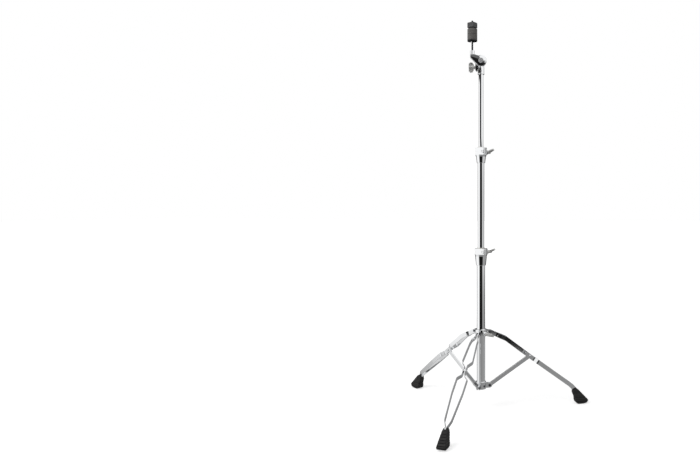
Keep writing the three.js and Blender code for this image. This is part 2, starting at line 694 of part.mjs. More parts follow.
// Clamp casting: z = 0 is the end of the outer tube, where the skirt turns into the head.
function clampBody(sizes) {
  const { tubeRadius, headRadius, bushBore, boltHole, boltReach, nearFace, skirt, head } = sizes;
  const profile = [
    [0, -skirt],
    [tubeRadius + SKIRT_BOTTOM_WALL, -skirt],
    [tubeRadius + SKIRT_TOP_WALL, -HEAD_TAPER_HEIGHT],
    [headRadius, HEAD_TAPER_HEIGHT],
    [headRadius - HEAD_WAIST, head / 2],
    [headRadius, head],
    [0, head],
  ];
  const lugTop = head - LUG_TOP_STEP;
  const lugReach = boltReach + boltHole + LUG_WALL;
  const lug = block([0, -nearFace, HEAD_TAPER_HEIGHT], [lugReach, LUG_HALF_LENGTH, lugTop]);
  const slit = block([0, -SLIT_WIDTH / 2, 0], [lugReach + OVERRUN, SLIT_WIDTH / 2, head + OVERRUN]);
  const bolt = crossRod(boltHole, -lugReach - OVERRUN, lugReach + OVERRUN);
  const turn = radians(LUG_DEG);
  const casting = join(turned(profile), lug.rotateZ(turn));
  return cut(
    casting,
    rod(tubeRadius + CLEARANCE, skirt + CLEARANCE * 2, ROUND_SIDES).translate(0, 0, -skirt - CLEARANCE),
    rod(bushBore, head + OVERRUN * 2, ROUND_SIDES).translate(0, 0, -OVERRUN),
    slit.rotateZ(turn),
    bolt.translate(boltReach, 0, head / 2).rotateZ(turn),
    nutSeatCutter(sizes).rotateZ(turn),
    nearFaceCutter(sizes).rotateZ(turn),
  );
}

// Room for the wing nut on the casting's far side.
function nutSeatCutter({ boltReach, headRadius, head }) {
  const radius = WING_HUB_DIAMETER / 2 + CLEARANCE * 2;
  return crossRod(radius, LUG_HALF_LENGTH, headRadius + OVERRUN).translate(boltReach, 0, head / 2);
}

// Planes the head's near side flat, level with the lug, as a seat for the bolt head.
function nearFaceCutter({ boltReach, headRadius, nearFace, head }) {
  const left = -headRadius - OVERRUN;
  const right = boltReach + headRadius;
  return block([left, left, HEAD_TAPER_HEIGHT], [right, -nearFace, head + OVERRUN]);
}

function clampBush({ bushInner, bushOuter, head }) {
  const flange = bushOuter + BUSH_WALL;
  const profile = [
    [bushInner, CLEARANCE],
    [bushOuter, CLEARANCE],
    [bushOuter, head + CLEARANCE],
    [flange, head + CLEARANCE],
    [flange, head + CLEARANCE + BUSH_FLANGE_HEIGHT],
    [bushInner, head + CLEARANCE + BUSH_FLANGE_HEIGHT],
    [bushInner, CLEARANCE],
  ];
  return turned(profile);
}

// Clamp bolt along Y: its head is on the near side of the lug, its thread carries the wing nut.
function clampBolt({ nutNeck, nearFace }) {
  const seat = -nearFace - CLEARANCE;
  const end = LUG_HALF_LENGTH + CLEARANCE + nutNeck + CLAMP_WING_DEPTH;
  const head = crossRod(CLAMP_BOLT_HEAD_DIAMETER / 2, seat - CLAMP_BOLT_HEAD_HEIGHT, seat, SMALL_SIDES);
  return join(crossRod(CLAMP_BOLT_DIAMETER / 2, seat - CLAMP_BOLT_HEAD_HEIGHT, end), head);
}

function clampWingNut({ nutNeck }) {
  const blank = wings(nutNeck, CLAMP_WING_DEPTH, CLAMP_WING_HALF_SPAN);
  const reach = nutNeck + CLAMP_WING_DEPTH;
  const nut = cut(blank, lengthRod(CLAMP_BOLT_DIAMETER / 2 + CLEARANCE, -OVERRUN, reach + OVERRUN));
  nut.rotateX(radians(CLAMP_WING_TILT_DEG)).rotateZ(Math.PI / 2);
  return nut.translate(0, LUG_HALF_LENGTH + CLEARANCE, 0);
}

function clampGroup(label, sizes, height) {
  const group = new THREE.Group();
  group.position.z = height;
  group.rotation.z = radians(FACING_DEG);
  group.add(
    piece(label + "_clamp", clampBody(sizes), chrome),
    piece(label + "_clamp_bush", clampBush(sizes), nylon),
  );
  const boltLine = new THREE.Group();
  boltLine.rotation.z = radians(LUG_DEG);
  boltLine.add(
    at(piece(label + "_clamp_bolt", clampBolt(sizes), chrome), sizes.boltReach, 0, sizes.head / 2),
    at(piece(label + "_clamp_wing_nut", clampWingNut(sizes), castMetal), sizes.boltReach, 0, sizes.head / 2),
  );
  group.add(boltLine);
  return group;
}

const armRadius = ARM_DISC_DIAMETER / 2;
const cheekFront = CLEARANCE * 2 + FRICTION_DISC_THICKNESS;
const cheekBack = cheekFront + CHEEK_THICKNESS;
const cheekMiddle = (cheekFront + cheekBack) / 2;
const armLeft = -ROD_OFFSET - ROD_BOSS_DIAMETER / 2;
const ferruleTop = -armRadius - CLEARANCE;
const ferruleBottom = ferruleTop - FERRULE_HEIGHT;

// Point where the tangent from a point to a circle round the pivot touches it; side picks one of the two.
function tangentPoint(x, z, radius, side) {
  const distance = Math.hypot(x, z);
  const angle = Math.atan2(z, x) + side * Math.acos(radius / distance);
  return [radius * Math.cos(angle), radius * Math.sin(angle)];
}

// Tilter arm: a disc round the pivot that runs out to the boss of the threaded rod.
function tilterArm() {
  const [lowX, lowZ] = tangentPoint(armLeft, ARM_LEFT_BOTTOM, armRadius, 1);
  const topX = -Math.min(ARM_TOP_SLOPE_RUN / 2, armRadius);
  const topZ = Math.sqrt(armRadius * armRadius - topX * topX);
  const shoulderX = armLeft + ROD_BOSS_DIAMETER;
  const shoulderZ = topZ + (topX - shoulderX) * Math.tan(radians(FACING_DEG));
  const shape = new THREE.Shape();
  shape.moveTo(armLeft, shoulderZ);
  shape.lineTo(armLeft, ARM_LEFT_BOTTOM);
  shape.lineTo(lowX, lowZ);
  const start = Math.atan2(lowZ, lowX);
  const end = Math.atan2(topZ, topX);
  shape.absarc(0, 0, armRadius, start, end - Math.PI * 2 > start ? end - Math.PI * 2 : end, false);
  shape.lineTo(shoulderX, shoulderZ);
  const settings = { depth: ARM_THICKNESS, bevelEnabled: false, curveSegments: ROUND_SIDES };
  const plate = new THREE.ExtrudeGeometry(shape, settings).rotateX(Math.PI / 2);
  const bossHeight = ROD_BOSS_TOP - ARM_LEFT_BOTTOM - ROD_BOSS_DIAMETER / 2;
  const boss = rod(ROD_BOSS_DIAMETER / 2, bossHeight, ROUND_SIDES);
  boss.translate(-ROD_OFFSET, -ROD_FORWARD, ROD_BOSS_TOP - bossHeight);
  const socket = rod(ROD_DIAMETER / 2 + CLEARANCE, ROD_SOCKET_DEPTH + OVERRUN);
  socket.translate(-ROD_OFFSET, -ROD_FORWARD, ROD_BOSS_TOP - ROD_SOCKET_DEPTH);
  const pivotHole = crossRod(PIVOT_BOLT_DIAMETER / 2 + CLEARANCE, -ARM_THICKNESS - OVERRUN, OVERRUN);
  return cut(join(plate, boss), socket, pivotHole);
}

// Tilter base: the ferrule on the upper tube, the cheek behind the arm and the lug of the wing screw.
function tilterBase() {
  const ferrule = turned(
    [
      [0, ferruleBottom],
      [FERRULE_DIAMETER / 2 + FERRULE_RIM, ferruleBottom],
      [FERRULE_DIAMETER / 2 + FERRULE_RIM, ferruleBottom + FERRULE_RIM_HEIGHT],
      [FERRULE_DIAMETER / 2, ferruleBottom + FERRULE_RIM_HEIGHT],
      [FERRULE_DIAMETER / 2, ferruleTop],
      [0, ferruleTop],
    ],
    ROUND_SIDES,
  );
  const cheek = crossRod(CHEEK_DIAMETER / 2, cheekFront, cheekBack, ROUND_SIDES);
  const neckHalf = FERRULE_DIAMETER / 2 - CLEARANCE;
  const neck = block([-neckHalf, cheekFront, ferruleTop - CHEEK_THICKNESS], [neckHalf, cheekBack, 0]);
  const lugTip = TILTER_LUG_REACH - TILTER_LUG_TIP;
  const lug = outline([
    [-TILTER_LUG_REACH, -TILTER_LUG_DROP + TILTER_LUG_TIP],
    [-lugTip - TILTER_LUG_TIP / 2, -TILTER_LUG_DROP],
    [-lugTip + TILTER_LUG_TIP / 2, -TILTER_LUG_DROP],
    [-neckHalf + CLEARANCE, -TILTER_LUG_DROP + TILTER_LUG_TIP * 2],
    [0, ferruleTop],
    [0, 0],
    [-TILTER_LUG_REACH + TILTER_LUG_TIP, 0],
    [-TILTER_LUG_REACH, -TILTER_LUG_TIP],
  ]);
  const screwHole = lengthRod(
    TILTER_SCREW_DIAMETER / 2 + CLEARANCE,
    -TILTER_LUG_REACH - OVERRUN,
    -TILTER_LUG_REACH + TILTER_SCREW_DEPTH + CLEARANCE,
  );
  const tubeSocket = rod(UPPER_TUBE_DIAMETER / 2 + CLEARANCE, FERRULE_HEIGHT, ROUND_SIDES);
  const socketTop = -PIVOT_ABOVE_TUBE + CLEARANCE;
  const setScrewHole = crossRod(SET_SCREW_DIAMETER / 2 + CLEARANCE, -FERRULE_DIAMETER, 0);
  return cut(
    join(ferrule, cheek, neck, uprightPlate(lug, cheekFront, cheekBack)),
    crossRod(PIVOT_BOLT_DIAMETER / 2 + CLEARANCE, cheekFront - OVERRUN, cheekBack + OVERRUN),
    screwHole.translate(0, cheekMiddle, -TILTER_SCREW_DROP),
    tubeSocket.translate(0, 0, socketTop - FERRULE_HEIGHT),
    setScrewHole.translate(0, 0, setScrewHeight()),
  );
}

function setScrewHeight() {
  return ferruleBottom + FERRULE_HEIGHT * SET_SCREW_HEIGHT_SHARE;
}

function tilterWingScrew() {
  const shank = lengthRod(TILTER_SCREW_DIAMETER / 2, -TILTER_SCREW_DEPTH, WING_NECK);
  const screw = join(shank.translate(-CLEARANCE, 0, 0), wings(WING_NECK, WING_DEPTH, WING_HALF_SPAN));
  return screw.rotateZ(Math.PI).translate(-TILTER_LUG_REACH - CLEARANCE, cheekMiddle, -TILTER_SCREW_DROP);
}

function pivotBolt() {
  const seat = -ARM_THICKNESS - CLEARANCE;
  const end = cheekBack + CLEARANCE + PIVOT_NUT_HEIGHT;
  const head = crossRod(PIVOT_BOLT_HEAD_DIAMETER / 2, seat - PIVOT_BOLT_HEAD_HEIGHT, seat, ROUND_SIDES);
  return join(crossRod(PIVOT_BOLT_DIAMETER / 2, seat - PIVOT_BOLT_HEAD_HEIGHT, end), head);
}

function pivotNut() {
  const front = cheekBack + CLEARANCE;
  const blank = crossRod(PIVOT_NUT_ACROSS_CORNERS / 2, front, front + PIVOT_NUT_HEIGHT, HEX_SIDES);
  const far = front + PIVOT_NUT_HEIGHT + OVERRUN;
  return cut(blank, crossRod(PIVOT_BOLT_DIAMETER / 2 + CLEARANCE, front - OVERRUN, far));
}

const cupBottom = ROD_BOSS_TOP + SEAT_ABOVE_BOSS;
const cupTop = cupBottom + CUP_THICKNESS;
const lowerFeltBottom = cupTop + CLEARANCE;
const upperFeltBottom = lowerFeltBottom + FELT_HEIGHT + CLEARANCE;
const nutBottom = upperFeltBottom + FELT_HEIGHT + CLEARANCE;
const nutTop = nutBottom + NUT_NECK_HEIGHT + NUT_HEIGHT;
const rodTip = nutTop + ROD_TIP_ABOVE_NUT;
const rodSleeveInner = ROD_DIAMETER / 2 + CLEARANCE;
const sleeveOuter = rodSleeveInner + SLEEVE_WALL;
const insertOuter = rodSleeveInner + INSERT_WALL;

function seatCup() {
  const disc = ring(CUP_DIAMETER / 2, rodSleeveInner, CUP_THICKNESS);
  const reach = CUP_DIAMETER / 2;
  const notch = block(
    [reach - CUP_NOTCH_DEPTH, -CUP_NOTCH_WIDTH / 2, -OVERRUN],
    [reach + OVERRUN, CUP_NOTCH_WIDTH / 2, CUP_THICKNESS + OVERRUN],
  );
  return cut(disc, notch.rotateZ(radians(CUP_NOTCH_DEG)));
}

// Felt washer; its shoulders are sharp where it is pressed against the other felt.
function feltWasher(lowerShoulder, upperShoulder) {
  const radius = FELT_DIAMETER / 2;
  const bore = sleeveOuter + CLEARANCE;
  const profile = [
    [bore, 0],
    [radius - lowerShoulder, 0],
    [radius, lowerShoulder],
    [radius, FELT_HEIGHT - upperShoulder],
    [radius - upperShoulder, FELT_HEIGHT],
    [bore, FELT_HEIGHT],
    [bore, 0],
  ];
  return turned(profile);
}

// Wing nut: a square block with a crowned top on a round neck.
function cymbalNut() {
  const half = NUT_WIDTH / 2;
  const flat = half - NUT_CORNER;
  const shape = new THREE.Shape();
  shape.absarc(flat, flat, NUT_CORNER, 0, Math.PI / 2, false);
  shape.absarc(-flat, flat, NUT_CORNER, Math.PI / 2, Math.PI, false);
  shape.absarc(-flat, -flat, NUT_CORNER, Math.PI, Math.PI * 1.5, false);
  shape.absarc(flat, -flat, NUT_CORNER, Math.PI * 1.5, Math.PI * 2, false);
  const body = flatPlate(shape, NUT_HEIGHT);
  const crown = turned([
    [0, 0],
    [NUT_WIDTH, 0],
    [NUT_WIDTH, NUT_HEIGHT - NUT_CROWN * 2],
    [half, NUT_HEIGHT - NUT_CROWN / 2],
    [NUT_NECK_DIAMETER / 2, NUT_HEIGHT],
    [0, NUT_HEIGHT],
  ]);
  const neck = rod(NUT_NECK_DIAMETER / 2, NUT_NECK_HEIGHT + OVERRUN, ROUND_SIDES);
  const grip = common(body, crown).translate(0, 0, NUT_NECK_HEIGHT);
  const bore = rod(insertOuter + CLEARANCE, NUT_NECK_HEIGHT + NUT_HEIGHT + OVERRUN * 2);
  return cut(join(neck, grip), bore.translate(0, 0, -OVERRUN));
}

function nutInsert() {
  const height = NUT_NECK_HEIGHT + NUT_HEIGHT - INSERT_RECESS * 2;
  return ring(insertOuter, rodSleeveInner, height, SMALL_SIDES);
}

function seatGroup() {
  const group = new THREE.Group();
  group.position.set(-ROD_OFFSET, -ROD_FORWARD, 0);
  const rodBottom = ROD_BOSS_TOP - ROD_SOCKET_DEPTH + CLEARANCE;
  const sleeve = ring(sleeveOuter, rodSleeveInner, nutBottom - CLEARANCE - lowerFeltBottom, SMALL_SIDES);
  const lowerFelt = feltWasher(FELT_PRESSED_SHOULDER, FELT_PRESSED_SHOULDER);
  const upperFelt = feltWasher(FELT_PRESSED_SHOULDER, FELT_SHOULDER);
  const nut = at(piece("cymbal_nut", cymbalNut(), blackPlastic), 0, 0, nutBottom);
  nut.rotation.z = radians(NUT_TURN_DEG);
  group.add(
    at(piece("threaded_rod", rod(ROD_DIAMETER / 2, rodTip - rodBottom), darkSteel), 0, 0, rodBottom),
    at(piece("seat_cup", seatCup(), blackPlastic), 0, 0, cupBottom),
    at(piece("cymbal_sleeve", sleeve, blackPlastic), 0, 0, lowerFeltBottom),
    at(piece("lower_felt", lowerFelt, felt), 0, 0, lowerFeltBottom),
    at(piece("upper_felt", upperFelt, felt), 0, 0, upperFeltBottom),
    nut,
    at(piece("nut_insert", nutInsert(), brass), 0, 0, nutBottom + INSERT_RECESS),
  );
  return group;
}

function tilterGroup() {
  const group = new THREE.Group();
  group.position.z = tilterHeight;
  group.rotation.z = radians(FACING_DEG);
  const frictionDisc = cut(
    crossRod(FRICTION_DISC_DIAMETER / 2, CLEARANCE, CLEARANCE + FRICTION_DISC_THICKNESS, ROUND_SIDES),
    crossRod(PIVOT_BOLT_DIAMETER / 2 + CLEARANCE, -OVERRUN, cheekBack),
  );
  const tubeSurface = UPPER_TUBE_DIAMETER / 2 + CLEARANCE;
  const setScrew = crossRod(SET_SCREW_DIAMETER / 2, -FERRULE_DIAMETER / 2, -tubeSurface);
  group.add(
    piece("tilter_arm", tilterArm(), chrome),
    piece("tilter_base", tilterBase(), chrome),
    piece("friction_disc", frictionDisc, blackPlastic),
    piece("pivot_bolt", pivotBolt(), castMetal),
    piece("pivot_nut", pivotNut(), castMetal),
    piece("tilter_wing_screw", tilterWingScrew(), castMetal),
    at(piece("ferrule_set_screw", setScrew, castMetal), 0, 0, setScrewHeight()),
    seatGroup(),
  );
  return group;
}

function stand() {
  const group = new THREE.Group();
  const baseClamp = clampSizes(BASE_TUBE_DIAMETER, MIDDLE_TUBE_DIAMETER, BASE_CLAMP_SKIRT, BASE_CLAMP_HEAD);
  const middleClamp = clampSizes(
    MIDDLE_TUBE_DIAMETER,
    UPPER_TUBE_DIAMETER,
    MIDDLE_CLAMP_SKIRT,
    MIDDLE_CLAMP_HEAD,
  );
  group.add(
    tube("base_tube", BASE_TUBE_DIAMETER, BASE_TUBE_LENGTH, baseTubeTop),
    tube("middle_tube", MIDDLE_TUBE_DIAMETER, MIDDLE_TUBE_LENGTH, middleTubeTop),
    tube("upper_tube", UPPER_TUBE_DIAMETER, UPPER_TUBE_LENGTH, upperTubeTop),
    at(piece("lower_collar", lowerCollar(), chrome), 0, 0, COLLAR_PIVOT_HEIGHT),
    at(piece("collar_rivet", collarRivet(), castMetal), 0, 0, COLLAR_PIVOT_HEIGHT),
    at(piece("leg_hub", legHub(), chrome), 0, 0, HUB_PIVOT_HEIGHT),
    at(piece("hub_wing_bolt", hubWingBolt(), castMetal), 0, 0, HUB_PIVOT_HEIGHT - HUB_BOSS_DROP),
    clampGroup("base", baseClamp, baseTubeTop),
    clampGroup("middle", middleClamp, middleTubeTop),
    tilterGroup(),
  );
  ["front", "right", "left"].forEach((label, leg) => group.add(legGroup(leg, label)));
  const reach = new THREE.Box3().setFromObject(group, true);
  group.position.y = -(reach.min.y + reach.max.y) / 2;
  return group;
}

export default stand();
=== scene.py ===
"""Straight cymbal stand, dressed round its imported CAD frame.

Pieces are modelled in millimetres, in the same local frames as the CAD source, and are
placed in the frame, in metres, when they are finished.
"""

import json
import logging
import math
from contextlib import contextmanager
from dataclasses import dataclass
from enum import Enum
from functools import lru_cache
from typing import Any, Callable, Iterator, Sequence

import bpy
from mathutils import Matrix, Vector


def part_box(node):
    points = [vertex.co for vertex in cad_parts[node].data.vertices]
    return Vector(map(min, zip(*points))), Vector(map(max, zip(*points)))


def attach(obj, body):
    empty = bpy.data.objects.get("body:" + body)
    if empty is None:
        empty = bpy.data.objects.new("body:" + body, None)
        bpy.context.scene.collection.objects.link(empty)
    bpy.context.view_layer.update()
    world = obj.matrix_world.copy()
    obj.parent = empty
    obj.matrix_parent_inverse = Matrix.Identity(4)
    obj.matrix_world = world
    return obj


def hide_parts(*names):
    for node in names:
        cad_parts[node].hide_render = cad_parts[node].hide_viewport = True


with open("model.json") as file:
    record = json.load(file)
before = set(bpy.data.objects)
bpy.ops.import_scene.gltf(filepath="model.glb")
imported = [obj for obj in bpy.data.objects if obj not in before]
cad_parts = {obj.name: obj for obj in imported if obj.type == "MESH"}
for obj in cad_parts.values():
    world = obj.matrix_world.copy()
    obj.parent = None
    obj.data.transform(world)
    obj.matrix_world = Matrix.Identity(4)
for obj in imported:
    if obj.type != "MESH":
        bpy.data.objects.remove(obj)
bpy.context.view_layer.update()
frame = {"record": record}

log = logging.getLogger("cymbal_stand")

Point = tuple[float, float]
Corner = tuple[float, ...]
Place = tuple[float, float, float]
Tree = bpy.types.NodeTree
Node = bpy.types.Node
Socket = bpy.types.NodeSocket

MM = 0.001
CLEARANCE = 0.3
OVERRUN = 1.0
WELD = 0.002
SMOOTH_DEG = 32
TURN_STEPS = 72
FINE_STEPS = 40
TUBE_STEPS = 96
FELT_STEPS = 110

FACING_DEG = 17.4
BASE_RADIUS, MIDDLE_RADIUS, UPPER_RADIUS = 14.3, 11.1, 7.95
BASE_TOP, MIDDLE_TOP, UPPER_TOP = 523.9, 859.9, 1159.4
PIVOT_HEIGHT = 1181.1
PIVOT_REACH = 29.5
HUB_HEIGHT = 265
COLLAR_HEIGHT = 84
SCREW_RADIUS = 3

RECORD = frame["record"]
BODY_OF = {node: body for body, nodes in RECORD["behaviour"]["bodies"].items() for node in nodes}


def column_axis() -> Vector:
    """Gives the place of the tubes' axis on the floor, in metres, from the base tube."""
    low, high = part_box("base_tube")
    return Vector(((low[0] + high[0]) / 2, (low[1] + high[1]) / 2, 0))


def turned_by(degrees: float, axis: str = "Z") -> Matrix:
    """Gives the matrix of a turn round one axis."""
    return Matrix.Rotation(math.radians(degrees), 4, axis)


def shifted(x: float, y: float, z: float) -> Matrix:
    """Gives the matrix of a move."""
    return Matrix.Translation((x, y, z))


def upright(point: Point) -> Matrix:
    """Gives the matrix of a move in the XZ plane."""
    return shifted(point[0], 0, point[1])


COLUMN = Matrix.Translation(column_axis()) @ Matrix.Scale(MM, 4)
FACING = COLUMN @ turned_by(FACING_DEG)


class Along(Enum):
    """The axis that a turned piece lies along; each turns +Z onto it."""

    X = "x"
    Y = "y"
    Z = "z"

    def matrix(self) -> Matrix:
        """Gives the turn from +Z to this axis.

        Returns:
            The turn.
        """
        if self is Along.X:
            return turned_by(90, "Y")
        if self is Along.Y:
            return turned_by(-90, "X")
        return Matrix.Identity(4)


class Lay(Enum):
    """How a plate's outline lies: in the XZ plane, or in the XY plane."""

    UPRIGHT = "upright"
    FLAT = "flat"


def softened(corners: Sequence[Corner], steps: int = 4) -> list[Point]:
    """Rounds the corners of a closed outline.

    Args:
        corners: x, y and, where the corner is rounded, its radius.
        steps: edges along each rounded corner.

    Returns:
        The points of the rounded outline.
    """
    points = []
    for index, corner in enumerate(corners):
        here = Vector(corner[:2])
        before = Vector(corners[index - 1][:2]) - here
        after = Vector(corners[(index + 1) % len(corners)][:2]) - here
        radius = corner[2] if len(corner) > 2 else 0
        if radius <= 0:
            points.append(tuple(here))
            continue
        half = before.angle(after) / 2
        run = min(radius / math.tan(half), before.length * 0.48, after.length * 0.48)
        start, end = here + before.normalized() * run, here + after.normalized() * run
        for step in range(steps + 1):
            share = step / steps
            low, high = start.lerp(here, share), here.lerp(end, share)
            points.append(tuple(low.lerp(high, share)))
    return points


def oblong(left: float, low: float, right: float, high: float) -> list[Corner]:
    """Gives the corners of a rectangle."""
    return [(left, low), (right, low), (right, high), (left, high)]


def solid(radius: float, low: float, high: float, *eases: float) -> list[Corner]:
    """Gives a solid cylinder's section, with the radii of its lower and its upper edge."""
    low_ease, high_ease = eases
    return [(0, low), (radius, low, low_ease), (radius, high, high_ease), (0, high)]


def washer(inner: float, outer: float, low: float, high: float, *eases: float) -> list[Corner]:
    """Gives a washer's section, with its corner radii from inside below, or one for all."""
    corners = oblong(inner, low, outer, high)
    return [(*corner, ease) for corner, ease in zip(corners, eases * 4)]


def mirrored(half: Sequence[Corner], x: int = 1, y: int = 1) -> list[Corner]:
    """Closes half an outline with its mirror image, by the signs given for x and y."""
    return [*half, *((x * place[0], y * place[1], *place[2:]) for place in reversed(half))]


def arc(radius: float, start: float, sweep: float, steps: int = 18) -> list[Point]:
    """Gives the points of an arc about the origin; its start and sweep are in radians."""
    turns = [start + sweep * step / steps for step in range(steps + 1)]
    return [(radius * math.cos(turn), radius * math.sin(turn)) for turn in turns]


def activate(*objects: bpy.types.Object) -> None:
    """Selects these objects alone, with the first one active.

    Args:
        objects: what to select; with none, nothing is selected.
    """
    if bpy.context.object and bpy.context.object.mode != "OBJECT":
        bpy.ops.object.mode_set(mode="OBJECT")
    bpy.ops.object.select_all(action="DESELECT")
    for thing in objects:
        thing.select_set(True)
    if objects:
        bpy.context.view_layer.objects.active = objects[0]


class Blank:
    """A piece on the bench: one mesh in millimetres, shaped with Blender's own operators."""

    def __init__(self, name: str) -> None:
        """Takes the object that was just added, and names it.

        Args:
            name: the piece's name.
        """
        self.body = bpy.context.object
        self.body.name = name
        self.body.data.name = name

    @contextmanager
    def editing(self, whole: bool = True) -> Iterator[None]:
        """Opens the mesh in edit mode, with all of it selected or as it is.

        Args:
            whole: whether all of it is selected.
        """
        activate(self.body)
        bpy.ops.object.mode_set(mode="EDIT")
        if whole:
            bpy.ops.mesh.select_all(action="SELECT")
        yield
        bpy.ops.object.mode_set(mode="OBJECT")

    def outward(self) -> "Blank":
        """Turns all faces outwards.

        Returns:
            The same piece.
        """
        with self.editing():
            bpy.ops.mesh.normals_make_consistent(inside=False)
        return self

    def pick(self, test: Callable[[Vector, Vector], bool]) -> None:
        """Selects the faces whose centre and normal pass a test.

        Args:
            test: takes a face's centre and normal.
        """
        with self.editing(whole=False):
            bpy.ops.mesh.select_mode(type="FACE")
            bpy.ops.mesh.select_all(action="DESELECT")
        for polygon in self.body.data.polygons:
            polygon.select = test(polygon.center, polygon.normal)

    @classmethod
    def looped(cls, name: str, points: Sequence[Sequence[float]]) -> "Blank":
        """Lays a closed loop of edges through these points.

        Args:
            name: the piece's name.
            points: the loop's points, in order.

        Returns:
            The loop.
        """
        activate()
        bpy.ops.mesh.primitive_circle_add(vertices=len(points), radius=1)
        blank = cls(name)
        for vertex, point in zip(blank.body.data.vertices, points):
            vertex.co = point
        return blank

    @classmethod
    def turned(
        cls, name: str, profile: Sequence[Corner], along: Along = Along.Z, steps: int = TURN_STEPS
    ) -> "Blank":
        """Turns a closed outline round an axis, as on a lathe.

        Args:
            name: the piece's name.
            profile: radius, distance along the axis and corner radius of each corner.
            along: the axis.
            steps: faces round the piece.

        Returns:
            The turned piece.
        """
        outline = softened(profile)
        blank = cls.looped(name, [(radius, 0, height) for radius, height in outline])
        with blank.editing():
            bpy.ops.mesh.spin(steps=steps, angle=math.tau, center=(0, 0, 0), axis=(0, 0, 1))
            bpy.ops.mesh.select_all(action="SELECT")
            bpy.ops.mesh.remove_doubles(threshold=WELD)
            bpy.ops.mesh.dissolve_degenerate(threshold=WELD)
            bpy.ops.mesh.delete_loose(use_verts=True, use_edges=True, use_faces=False)
        return blank.outward().moved(along.matrix())

    @classmethod
    def rod(
        cls, radius: float, low: float, high: float, along: Along = Along.Z,
        steps: int = FINE_STEPS
    ) -> "Blank":
        """Turns a plain rod between two places on an axis, for use as a tool or a shank."""
        return cls.turned("rod", oblong(0, low, radius, high), along, steps)

    @classmethod
    def bore(
        cls, radius: float, low: float, high: float, along: Along = Along.Z,
        steps: int = FINE_STEPS
    ) -> "Blank":
        """Turns the tool for a hole right through, with clearance round a shank's radius."""
        return cls.rod(radius + CLEARANCE, low - OVERRUN, high + OVERRUN, along, steps)

    @classmethod
    def plate(
        cls, name: str, corners: Sequence[Corner], low: float, high: float, lay: Lay = Lay.UPRIGHT
    ) -> "Blank":
        """Extrudes an outline into a plate.

        Args:
            name: the piece's name.
            corners: x, y and corner radius of each corner of the outline.
            low: where the plate starts, along Y if it is upright and along Z if it lies flat.
            high: where it ends.
            lay: how the outline lies.

        Returns:
            The plate.
        """
        outline = softened(corners)
        if lay is Lay.UPRIGHT:
            points, rise = [(x, low, z) for x, z in outline], (0, high - low, 0)
        else:
            points, rise = [(x, y, low) for x, y in outline], (0, 0, high - low)
        blank = cls.looped(name, points)
        with blank.editing():
            bpy.ops.mesh.edge_face_add()
            bpy.ops.mesh.extrude_region_move(TRANSFORM_OT_translate={"value": rise})
        return blank.outward()

    def copied(self, name: str) -> "Blank":
        """Copies the piece with its own mesh.

        Args:
            name: the copy's name.

        Returns:
            The copy.
        """
        activate(self.body)
        bpy.ops.object.duplicate(linked=False)
        return Blank(name)

    def moved(self, matrix: Matrix) -> "Blank":
        """Moves the piece, with the place kept in its mesh.

        Args:
            matrix: the move, turn or change of scale.

        Returns:
            The same piece.
        """
        activate(self.body)
        self.body.matrix_world = matrix @ self.body.matrix_world
        bpy.ops.object.transform_apply(location=True, rotation=True, scale=True)
        return self

    def modified(self, kind: str, **settings: Any) -> "Blank":
        """Adds a modifier with these settings and applies it.

        Args:
            kind: the modifier's type.
            settings: its values by name.

        Returns:
            The same piece.
        """
        activate(self.body)
        bpy.ops.object.modifier_add(type=kind)
        modifier = self.body.modifiers[-1]
        for key, value in settings.items():
            setattr(modifier, key, value)
        bpy.ops.object.modifier_apply(modifier=modifier.name)
        return self

    def rounded(self, width: float, segments: int = 2, angle: float = 40) -> "Blank":
        """Rounds the edges that are sharper than an angle.

        Args:
            width: how far the rounding reaches along each face.
            segments: faces across it.
            angle: in degrees.

        Returns:
            The same piece.
        """
        limit = math.radians(angle)
        return self.modified(
            "BEVEL", width=width, segments=segments, limit_method="ANGLE", angle_limit=limit
        )

    def combined(self, operation: str, others: Sequence["Blank"]) -> "Blank":
        """Joins, cuts or crosses the piece with others, which are used up.

        Args:
            operation: UNION, DIFFERENCE or INTERSECT.
            others: the other pieces.

        Returns:
            The same piece.
        """
        for other in others:
            self.modified("BOOLEAN", operation=operation, object=other.body, solver="EXACT")
            bpy.data.objects.remove(other.body)
        with self.editing():
            bpy.ops.mesh.remove_doubles(threshold=WELD)
            bpy.ops.mesh.dissolve_degenerate(threshold=WELD)
            bpy.ops.mesh.select_all(action="SELECT")
            bpy.ops.mesh.fill_holes(sides=4)
        return self

    def joined(self, *parts: "Blank") -> "Blank":
        """Fuses other parts onto the piece."""
        return self.combined("UNION", parts)

    def cut(self, *tools: "Blank") -> "Blank":
        """Cuts tools out of the piece."""
        return self.combined("DIFFERENCE", tools)

    def common(self, other: "Blank") -> "Blank":
        """Keeps what the piece shares with another."""
        return self.combined("INTERSECT", [other])

    def ringed(self, count: int) -> "Blank":
        """Repeats the piece round the Z axis, as one mesh of separate parts.

        Args:
            count: how many there are in the end.

        Returns:
            The same piece.
        """
        copies = [
            self.copied("ring").moved(turned_by(360 * index / count)) for index in range(1, count)
        ]
        activate(self.body, *(copy.body for copy in copies))
        bpy.ops.object.join()
        return self

